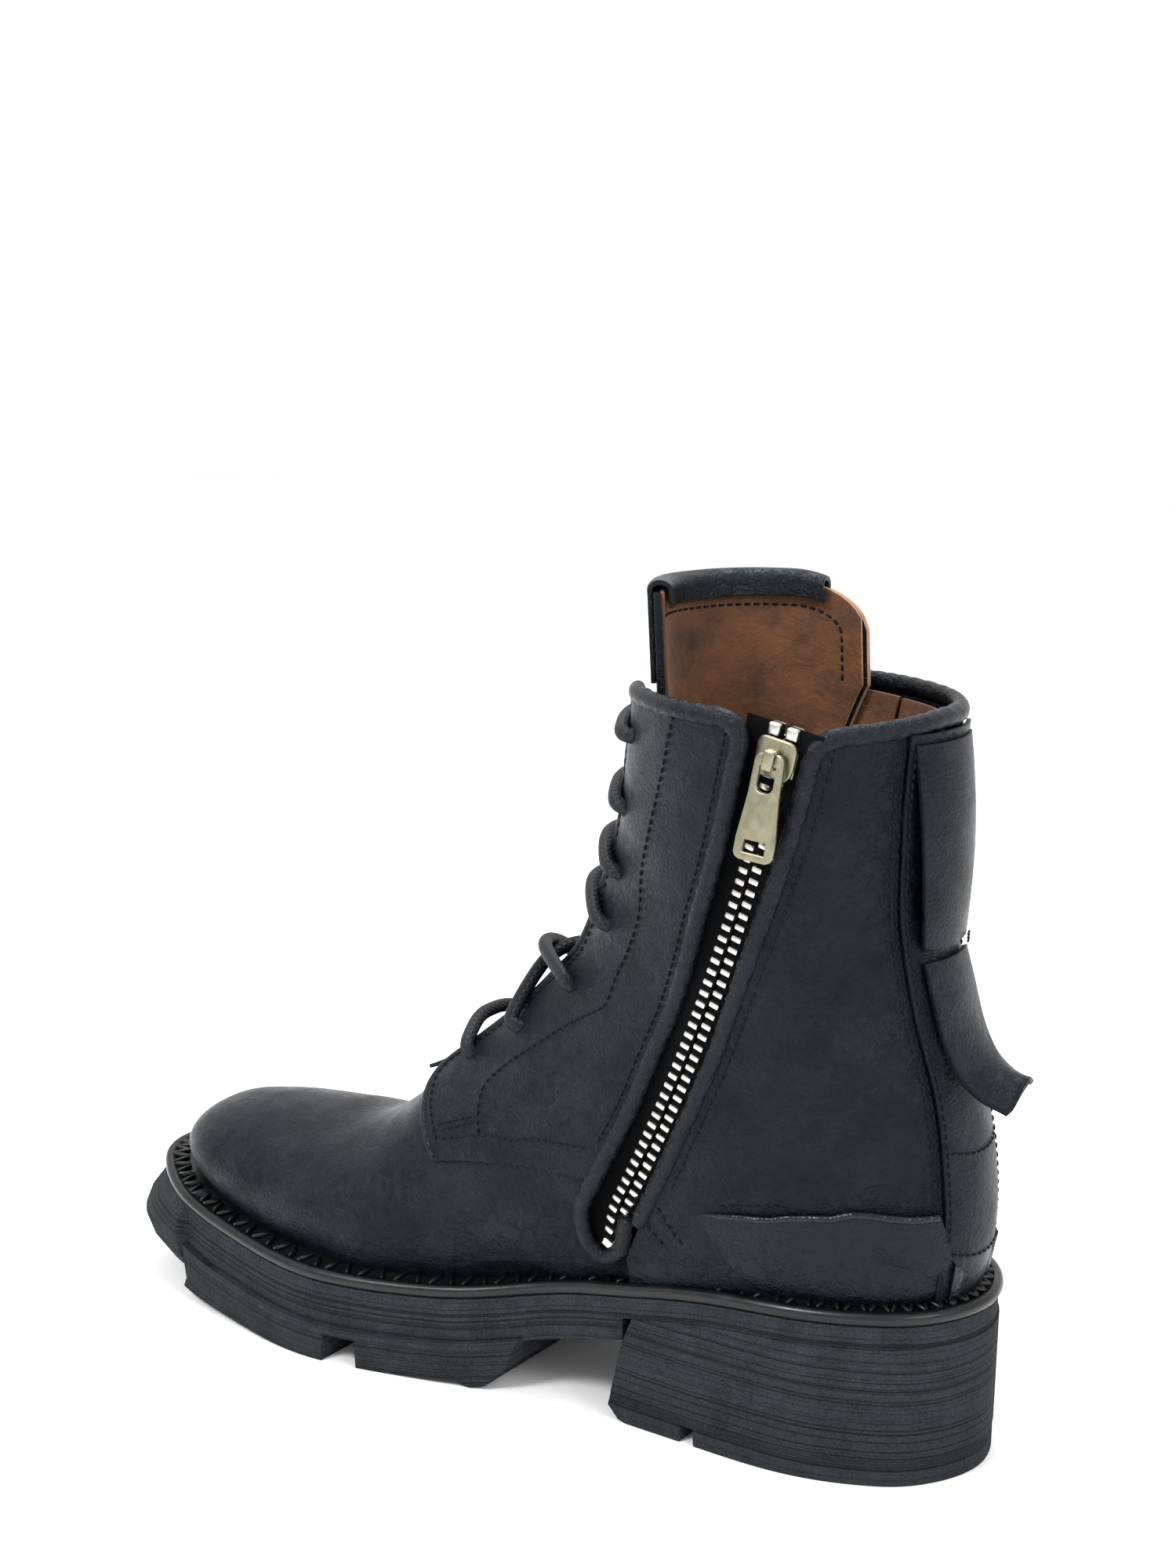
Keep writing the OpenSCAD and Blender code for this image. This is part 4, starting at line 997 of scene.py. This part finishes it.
rolledBand("rearRolledEdge", [
    (rearLine, 240, 1.0, 0, [2.4, 2.5]),
    (collarRear, 260, 0.5, rolled["lift"], [2.6, 2.6]),
    (faceLine[::-1], 220, 1.2, 0, thinFacing[::-1])],
    ["zip_piping_rear", "collar_binding_rear", "facing_binding_lateral"])


# the lateral facing's lower front corner has curled up into a small horn
def throatHorn():
    reach = np.linspace(0, 1, 26)
    across = np.linspace(0, 1, 9)
    uv = np.stack([8.05 - 1.0 * reach[:, None] + 0.55 * across * (1 - reach[:, None]),
                   0.30 - 0.27 * reach[:, None] - 0.1 * across * (1 - reach[:, None])], -1)
    lift = 1.9 + 4.0 * reach[:, None] ** 2.2 + 0 * across
    pts = skin(uv, lift)
    obj = sheetMesh("throatHorn", pts)
    addSheetMap(obj, pts)
    modify(obj, "SOLIDIFY", thickness=0.0012, offset=0)
    modify(obj, "BEVEL", width=0.0003, segments=2, limit_method="ANGLE", angle_limit=math.radians(50))
    outwardFaces(obj)
    smoothShade(obj, 60)
    place(obj, rolledLeather, [])


throatHorn()

# stitching on the upper
sewn = layers["panelOut"] + 0.05
facingSeam = np.array([[20, 0.40], [18.2, 0.35], [16.7, 0.306], [15.8, 0.30], [14.5, 0.28], [12.8, 0.305],
                       [11, 0.33], [9.6, 0.355], [9.1, 0.386], [8.85, 0.455], [8.7, 0.53]])
edgeSeam = np.array([[20, 0.145], [17.2, 0.145], [14.4, 0.15], [11.6, 0.165], [10.2, 0.18], [9, 0.2],
                     [8.2, 0.215],
                     [7.98, 0.3], [7.98, 0.5]])
for side, label in ((-1, "Medial"), (1, "Lateral")):
    flip = np.array([1, side])
    rows = [sewLine(facingSeam * flip, sewn, 240), sewLine(edgeSeam * flip, sewn, 240),
            sewLine(np.array([[8.08, 0.438], [8.5, 0.452], [8.89, 0.465]]) * flip, sewn, 30),
            sewLine(np.array([[8.08, 0.462], [8.5, 0.47], [8.86, 0.477]]) * flip, sewn, 30),
            sewLine(np.array([[8.05, 0.485], [8.5, 0.506], [8.76, 0.518], [9.23, 0.554], [9.6, 0.566],
                              [9.97, 0.589],
                              [10.42, 0.613]]) * flip, sewn, 90)]
    sew("quarterStitching" + label, rows, thread)
rows = [sewLine(zipLine(-12.6, -1, arc["top"] - 0.2, -25.6, 50), sewn, 320),
        sewLine(zipLine(12.0, -1, arc["top"], -25.2, 50), sewn, 320),
        # the arrow-shaped patch at the zip's foot
        sewLine(np.array([[10.48, -0.736], [10.77, -0.720]]), sewn, 20),
        sewLine(np.array([[10.48, -0.736], [10.36, -0.77], [10.31, -0.798], [10.27, -0.853]]), sewn, 40),
        sewLine(np.array([[10.77, -0.733], [10.70, -0.763], [10.6, -0.81], [10.53, -0.857]]), sewn, 40)]
sew("zipStitching", rows, thread)
over = layers["overOut"] + 0.05
rows = [sewLine(np.array([[11.84, -0.733], [13.51, -0.679], [14.51, -0.733], [14.93, -0.854]]) * [1, -side],
                sewn, 140)
        for side in (1, -1)]
for v in (-0.853, -1.147, -0.866, -1.134):
    rows.append(sewLine(np.array([[19.7, v], [17.8, v], [15.9, v], [14.9, v]]), sewn, 240))
for v in (-0.884, -1.116):
    rows.append(sewLine(np.array([[19.7, v], [17.8, v], [15.9, v], [14.4, v]]), over, 200))
for u in (15.59, 14.32):
    rows.append(sewLine(np.array([[u, -0.89], [u, -1.0], [u, -1.11]]), over, 50))
sew("heelStitching", rows, thread)
print("stitching ready")

# tongue
tongueShape = dict(rise=26, out=-4.6, thick=1.8, lining=1.0)
tongueLeft = np.array([[7.7, 0.19], [9, 0.2], [11, 0.2], [13, 0.2], [15, 0.21], [17, 0.22], [19, 0.225],
                       [20, 0.225]])
tongueRight = np.array([[7.7, 0.19], [9, 0.2], [11, 0.21], [13, 0.23], [15, 0.28], [17, 0.37], [19, 0.49],
                        [20, 0.54]])


def stand(u, v, o, h):
    uv = np.stack(np.broadcast_arrays(np.minimum(u, 20.0), v), -1)
    lift = (np.asarray(h) * np.maximum(0, np.asarray(u) - 20))[..., None]
    return skin(uv, o) + np.array([-0.06, 0, 1]) * lift


# the tongue's lateral top corner is rounded off
def cornerDrop(t):
    return 13 * (1 - np.sqrt(1 - (np.maximum(0, t - 0.76) / 0.241) ** 2))


def tongueSheet(name, n, m, out, thick, inset, finish, nodes):
    t = np.linspace(inset, 1 - inset, m)[None, :]
    s = np.linspace(0, 1, n)[:, None]
    a = spline(mirrorV(tongueLeft), s[:, 0])[:, None]
    b = spline(tongueRight, s[:, 0])[:, None]
    low = a * (1 - t[..., None]) + b * t[..., None]
    pts = skin(low, np.full(low.shape[:2], float(out)))
    rise = tongueShape["rise"] * (1 + 0.02 * np.sin(t * 7)) - cornerDrop(t)
    high = stand(20 + np.linspace(0.06, 1, 24)[:, None], np.broadcast_to(-0.225 + 0.765 * t, (24, m)),
                 np.full((24, m), float(out)), rise)
    pts = np.concatenate([pts, high])
    obj = sheetMesh(name, pts)
    addSheetMap(obj, pts)
    selectOnly(obj)
    if (obj.data.polygons[len(obj.data.polygons) // 2].normal.x) > 0:
        obj.data.flip_normals()
    obj.data.materials.append(finish[0])
    obj.data.materials.append(finish[1])
    modify(obj, "SOLIDIFY", thickness=thick * 0.001, offset=-1, material_offset_rim=1)
    modify(obj, "BEVEL", width=0.00025, segments=2, limit_method="ANGLE", angle_limit=math.radians(50))
    # the medial edge is skived and dyed, the lateral edge is left raw
    for face in obj.data.polygons:
        if face.material_index == 1 and face.center.y < 0:
            face.material_index = 0
    smoothShade(obj, 60)
    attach(obj, "boot")
    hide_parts(*nodes)
    return obj


tongueSheet("tongue", 90, 60, tongueShape["out"], tongueShape["thick"], 0, (upperLeather, rawEdge),
            ["tongue"])
tongueSheet("tongueLining", 80, 50, tongueShape["out"] - tongueShape["thick"] - 0.08, tongueShape["lining"],
            0.012,
            (tanLining, rawEdge), ["tongue_lining"])


# a row of stitches follows the lining's edge
def tongueStitch():
    t = np.concatenate([np.linspace(0.07, 0.76, 30), 0.76 + 0.16 * np.sin(np.linspace(0.1, math.pi / 2, 14)),
                        np.full(14, 0.92)])
    h = np.concatenate([np.full(30, 19.5), 19.5 - 7 * (1 - np.cos(np.linspace(0.1, math.pi / 2, 14))),
                        np.linspace(11.5, 0.5, 14)])
    inner = tongueShape["out"] - tongueShape["thick"] - tongueShape["lining"] - 0.15
    v = -0.225 + 0.765 * t
    line = stand(np.full(58, 21.0), v, np.full(58, inner), h)
    sew("tongueStitching", [(line, -outward(np.full(58, 20.0), v))], thread)


tongueStitch()


# pull strip folded over the tongue's top
def pullStrip():
    path = np.array([[-3.9, 3], [-3.9, 16], [-3.9, 24], [-4.1, 27.2], [-6.4, 28.4], [-9, 27.2],
                     [-9.4, 24.5], [-9.4, 22]])
    s = np.linspace(0, 1, 60)
    line = spline(path, s)
    t = np.linspace(0.03, 0.87, 70)
    v = -0.225 + 0.765 * t
    pts = np.stack([stand(np.full(70, 21.0), v, np.full(70, o), h - cornerDrop(t)) for o, h in line])
    obj = sheetMesh("tonguePull", pts)
    if obj.data.polygons[10].normal.x > 0:
        obj.data.flip_normals()
    modify(obj, "SOLIDIFY", thickness=0.0013, offset=0)
    modify(obj, "BEVEL", width=0.0003, segments=2, limit_method="ANGLE", angle_limit=math.radians(50))
    smoothShade(obj, 60)
    place(obj, rolledLeather, ["tongue_pull"])


pullStrip()
print("tongue ready")

# lace
laceShape = dict(radius=2.0, up=3.75, inside=-2.0)
holeUv = np.array([[18.85, 0.215], [17.2, 0.2], [15.95, 0.205], [15, 0.21], [12.6, 0.225], [10.2, 0.25],
                   [8.86, 0.24]])


def hole(i, side, o):
    return np.array([holeUv[i, 0], side * holeUv[i, 1], o])


def crossOver(a, sa, b, sb, lift):
    p, q = hole(a, sa, laceShape["up"]), hole(b, sb, laceShape["up"])
    return [hole(a, sa, laceShape["inside"]), hole(a, sa, 1.6), p + [0, -sa * 0.028, 0],
            p + (q - p) * 0.32 + [0, 0, 0.4 + lift * 0.7], p + (q - p) * 0.5 + [0, 0, 0.6 + lift],
            p + (q - p) * 0.68 + [0, 0, 0.4 + lift * 0.7], q + [0, -sb * 0.028, 0], hole(b, sb, 1.6),
            hole(b, sb, laceShape["inside"])]


laceUv = np.array([[19.8, -0.25, laceShape["inside"]]] + crossOver(1, -1, 1, 1, 0) + crossOver(3, 1, 3, -1, 0)
                  + [[13.8, -0.24, laceShape["inside"]]]
                  + crossOver(4, -1, 5, 1, 3.9) + crossOver(6, 1, 6, -1, 0) + crossOver(5, -1, 4, 1, 0)
                  + [[14.2, 0.24, laceShape["inside"]]]
                  + crossOver(2, 1, 2, -1, 0) + [[17.4, -0.24, laceShape["inside"]]] + crossOver(0, -1, 0,
                                                                                                 1, 0)
                  + [[18.4, 0.25, laceShape["inside"]], [17.4, 0.27, laceShape["inside"]]])
lacePath = spline(skin(laceUv[:, :2], laceUv[:, 2]), np.linspace(0, 1, 900))
tube("lace", along(lacePath, 0.8), laceShape["radius"], laceShape["radius"], laceFinish, ["lace"], sides=14)
print("lace ready")

# back strap
strap = dict(path=[[27.4, 193], [29, 180], [29.8, 166], [29.4, 152], [28.6, 141]],
             wide=[15.5, 15.2, 14.6, 13.4, 12])
tail = dict(path=[[28.9, 138.2], [31.2, 130], [34.4, 119], [38.2, 111.5], [43, 107.4], [49.5, 105.2]],
            wide=[12, 12, 11.7, 11.2, 10, 7.4])


def ribbon(name, shape, body, nodes, n=80, m=40):
    s = np.linspace(0, 1, n)
    p = spline(shape["path"], s)
    h = spline(shape["wide"], s)[:, 0]
    t = np.linspace(-1, 1, m)
    y = h[:, None] * t
    bow = y * y / (60 + 50 * s[:, None] * (body == "tail"))
    curl = 3.4 * (body == "tail") * s[:, None] ** 3 * np.sin(t * 2.2 + 0.6)
    pts = np.stack([p[:, None, 0] - bow, y, p[:, None, 1] + curl], -1)
    obj = sheetMesh(name, pts)
    if obj.data.polygons[len(obj.data.polygons) // 2].normal.x < 0:
        obj.data.flip_normals()
    addSheetMap(obj, pts)
    modify(obj, "SOLIDIFY", thickness=0.0015, offset=-1)
    modify(obj, "BEVEL", width=0.0004, segments=3, limit_method="ANGLE", angle_limit=math.radians(50))
    smoothShade(obj, 60)
    return place(obj, upperLeather, nodes, body)


ribbon("backStrap", strap, "boot", ["back_strap"])
ribbon("strapTail", tail, "tail", ["strap_tail"])


# bar tacks: a few thread wraps across each edge of the strap where it is sewn down
def barTacks():
    rows = []
    for z in (139.4, 140.3, 141.2):
        for side in (-1, 1):
            y = np.linspace(9.2, 13.6, 8) * side
            x = 28.9 - y * y / 60 + 0.35
            line = np.stack([x, y, np.full(8, z)], -1)
            rows.append((line, np.broadcast_to([1.0, side * 0.35, 0], line.shape)))
    sew("strapTacks", rows, thread, ["strap_tacks"])


barTacks()


# zip: tapes, teeth, stops, slider and pull, all set out on the arc
# the lowest teeth swing towards the heel where the tape's end is turned under
def zipFrameAt(angle):
    a = math.radians(angle)
    out = Vector((math.cos(a), 0, math.sin(a)))
    up = Vector((-math.sin(a), 0, math.cos(a)))
    swing = 3.0 * max(0.0, (-26.9 - angle) / 1.2) ** 1.5
    mat = Matrix.Identity(4)
    mat.col[0][:3] = out
    mat.col[1][:3] = (0, 1, 0)
    mat.col[2][:3] = up
    mat.col[3][:3] = Vector((arc["x"], arc["y"], arc["z"])) + out * (arc["r"] + swing)
    return mat


def zipTape(name, inner, outer, nodes):
    rows = []
    for angle in np.linspace(arc["end"] - 0.2, arc["chainTop"], 90):
        mat = zipFrameAt(angle)
        rows.append([mat @ Vector((x, 0, 0)) for x in np.linspace(inner, outer, 10)])
    pts = np.array(rows)
    obj = sheetMesh(name, pts)
    addSheetMap(obj, pts)
    if obj.data.polygons[0].normal.y > 0:
        obj.data.flip_normals()
    modify(obj, "SOLIDIFY", thickness=0.0008, offset=0)
    modify(obj, "BEVEL", width=0.0002, segments=2, limit_method="ANGLE", angle_limit=math.radians(50))
    place(obj, tape, nodes)


zipTape("zipTapeFront", -11.0, -0.35, ["zip_tape_front"])
zipTape("zipTapeRear", 0.35, 10.5, ["zip_tape_rear"])
toothShape = dict(pitch=3.2, thick=1.55, reach=0.4, root=3.3, deep=3.0)


# one block: a cube added at its size and place, edges bevelled
def blockAt(size, at, rounding=0.35, segments=3):
    selectNone()
    bpy.ops.mesh.primitive_cube_add(size=1, location=at)
    obj = bpy.context.active_object
    obj.scale = size
    bpy.ops.object.transform_apply(location=True, rotation=False, scale=True)
    modify(obj, "BEVEL", width=rounding, segments=segments)
    return obj


def joinAll(objs, name):
    selectNone()
    for obj in objs:
        obj.select_set(True)
    bpy.context.view_layer.objects.active = objs[0]
    bpy.ops.object.join()
    obj = bpy.context.active_object
    obj.name = name
    return obj


def setOnZip(obj, angle, turn=None):
    obj.data.transform(Matrix.Scale(0.001, 4) @ zipFrameAt(angle) @ (turn or Matrix.Identity(4)))
    obj.data.update()
    outwardFaces(obj)
    smoothShade(obj, 35)
    return obj


def teeth(name, side, start, count, nodes):
    wide = toothShape["root"] - toothShape["reach"]
    middle = side * (toothShape["root"] + toothShape["reach"]) / 2
    first = blockAt((wide, toothShape["deep"], toothShape["thick"]), (middle, 0, 0), 0.4, 2)
    step = math.degrees(toothShape["pitch"] / arc["r"])
    copies = []
    for i in range(count):
        each = first.copy()
        each.data = first.data.copy()
        bpy.context.collection.objects.link(each)
        each.data.transform(Matrix.Scale(0.001, 4) @ zipFrameAt(start + i * step))
        copies.append(each)
    bpy.data.objects.remove(first)
    obj = joinAll(copies, name)
    smoothShade(obj, 35)
    place(obj, toothMetal, nodes)


toothStep = math.degrees(toothShape["pitch"] / arc["r"])
toothCount = int((arc["chainTop"] - 0.5 - arc["end"] - 0.9) / toothStep)
teeth("zipTeethFront", -1, arc["end"] + 0.7, toothCount + 1, ["zip_teeth_front"])
teeth("zipTeethRear", 1, arc["end"] + 0.7 + toothStep / 2, toothCount, ["zip_teeth_rear"])
stops = joinAll([blockAt((3.3, 3.8, 3.2), (2.55 * side, 0, 0), 0.6) for side in (-1, 1)], "zipTopStops")
place(setOnZip(stops, arc["chainTop"] - 0.18), toothMetal, ["zip_top_stops"])
stop = blockAt((7.2, 3.8, 2.4), (0, 0, 0), 0.6)
stop.name = "zipBottomStop"
place(setOnZip(stop, arc["end"] + 0.3), toothMetal, ["zip_bottom_stop"])


# slider: two plates with rolled sides round the chain, a thin neck between them, a bridge for the pull
sliderShape = dict(gap=1.9, plate=1.2, neck=0.56, bridgeOut=4.9, pivot=0.75)


def zipSlider():
    parts = []
    for side in (-1, 1):
        y = side * (sliderShape["gap"] + sliderShape["plate"] / 2)
        outline = [(-3.9, -5), (3.9, -5), (5.0, -3.4), (5.5, -1.4), (5.5, 3.2), (4.7, 4.6), (3.4, 5),
                   (-3.4, 5),
                   (-4.7, 4.6), (-5.5, 3.2), (-5.5, -1.4), (-5.0, -3.4)]
        half = sliderShape["plate"] / 2
        plate = prism("plate", outline, False, y - half, y + half)
        modify(plate, "BEVEL", width=0.42, segments=3, limit_method="ANGLE", angle_limit=math.radians(40))
        parts.append(plate)
        for x in (-5.0, 5.0):
            parts.append(blockAt((0.9, 1.1, 6.6), (x, side * (sliderShape["gap"] - 0.35), -0.6), 0.3))
    parts.append(blockAt((sliderShape["neck"], 2 * sliderShape["gap"] + 0.6, 3.0), (0, 0, 3.1), 0.12, 2))
    # bridge: two low cheeks and a rounded nub over the pull's bar
    for z in (-1.9, 1.9):
        parts.append(blockAt((3.0, 2.6, 1.3), (0, -sliderShape["gap"] - 2.2, z), 0.4))
    parts.append(blockAt((3.0, 1.0, 5.1), (0, -sliderShape["bridgeOut"] - 1.25, 0), 0.45))
    obj = joinAll(parts, "zipSlider")
    place(setOnZip(obj, arc["slider"]), pullMetal, ["zip_slider"], "slider")


zipSlider()
pullShape = dict(wide=11.0, long=25.0, thick=1.4, lean=-9, tilt=-7)


# pull: a stamped tab with a round-headed window at the bar and a slot near its foot
def zipPull():
    w, l = pullShape["wide"] / 2, pullShape["long"]
    outline = [(-2.6, 1.6), (2.6, 1.6), (3.7, 0.9), (4.1, -0.4), (4.3, -9), (w, -l + 5.4), (w, -l + 1.5),
               (w - 0.7, -l + 0.5),
               (w - 1.8, -l), (1.8 - w, -l), (0.7 - w, -l + 0.5), (-w, -l + 1.5), (-w, -l + 5.4), (-4.3, -9),
               (-4.1, -0.4), (-3.7, 0.9)]
    half = pullShape["thick"] / 2
    tab = prism("zipPull", outline, False, -half, half)
    window = [(-2.3, -1.6), (2.3, -1.6), (2.3, -6.4), (1.8, -7.5), (0.9, -8.0), (-0.9, -8.0), (-1.8, -7.5),
              (-2.3, -6.4)]
    cutWith(tab, prism("window", window, False, -3, 3), "DIFFERENCE")
    cutWith(tab, prism("slot", [(-3.1, -l + 2), (3.1, -l + 2), (3.1, -l + 5), (-3.1, -l + 5)], False, -3, 3),
            "DIFFERENCE")
    modify(tab, "BEVEL", width=0.38, segments=3, limit_method="ANGLE", angle_limit=math.radians(40))
    selectNone()
    bpy.ops.mesh.primitive_cylinder_add(vertices=24, radius=sliderShape["pivot"] - 0.05, depth=6.4,
                                        rotation=(0, math.pi / 2, 0))
    pin = bpy.context.active_object
    bpy.ops.object.transform_apply(location=True, rotation=True, scale=True)
    modify(pin, "BEVEL", width=0.2, segments=2, limit_method="ANGLE", angle_limit=math.radians(40))
    turned = (Matrix.Translation((0, -sliderShape["bridgeOut"], 0))
              @ Matrix.Rotation(math.radians(pullShape["tilt"]), 4, "Y")
              @ Matrix.Rotation(math.radians(pullShape["lean"]), 4, "X"))
    obj = joinAll([tab, pin], "zipPull")
    place(setOnZip(obj, arc["slider"], turned), pullMetal, ["zip_pull"], "pull")


zipPull()
print("zip ready")


# studio: pale floor, white room, three soft boxes
def floorAndLights():
    selectNone()
    bpy.ops.mesh.primitive_plane_add(size=6)
    ground = bpy.context.active_object
    ground.name = "floor"
    mat, tree, bsdf, coord = newFinish("paleFloor", **{"Base Color": (0.96, 0.96, 0.96, 1), "Roughness": 0.9})
    ground.data.materials.append(mat)
    bpy.context.scene.view_settings.view_transform = "Standard"
    world = bpy.data.worlds.new("studio")
    bpy.context.scene.world = world
    world.use_nodes = True
    world.node_tree.nodes["Background"].inputs[0].default_value = (1, 1, 1, 1)
    world.node_tree.nodes["Background"].inputs[1].default_value = 1.0
    for name, spot, aim, size, power in (
            ("keyBox", (-0.5, -1.3, 1.5), (-0.08, 0, 0.1), 0.5, 24),
            ("rearBox", (1.4, -0.5, 1.0), (-0.05, 0, 0.12), 0.6, 9),
            ("topBox", (-0.3, 0.5, 1.8), (-0.1, 0, 0.1), 0.9, 22)):
        lamp = bpy.data.lights.new(name, "AREA")
        lamp.size = size
        lamp.energy = power
        obj = bpy.data.objects.new(name, lamp)
        bpy.context.collection.objects.link(obj)
        obj.location = spot
        obj.rotation_euler = (Vector(spot) - Vector(aim)).to_track_quat("Z", "Y").to_euler()


floorAndLights()

print("scene ready")
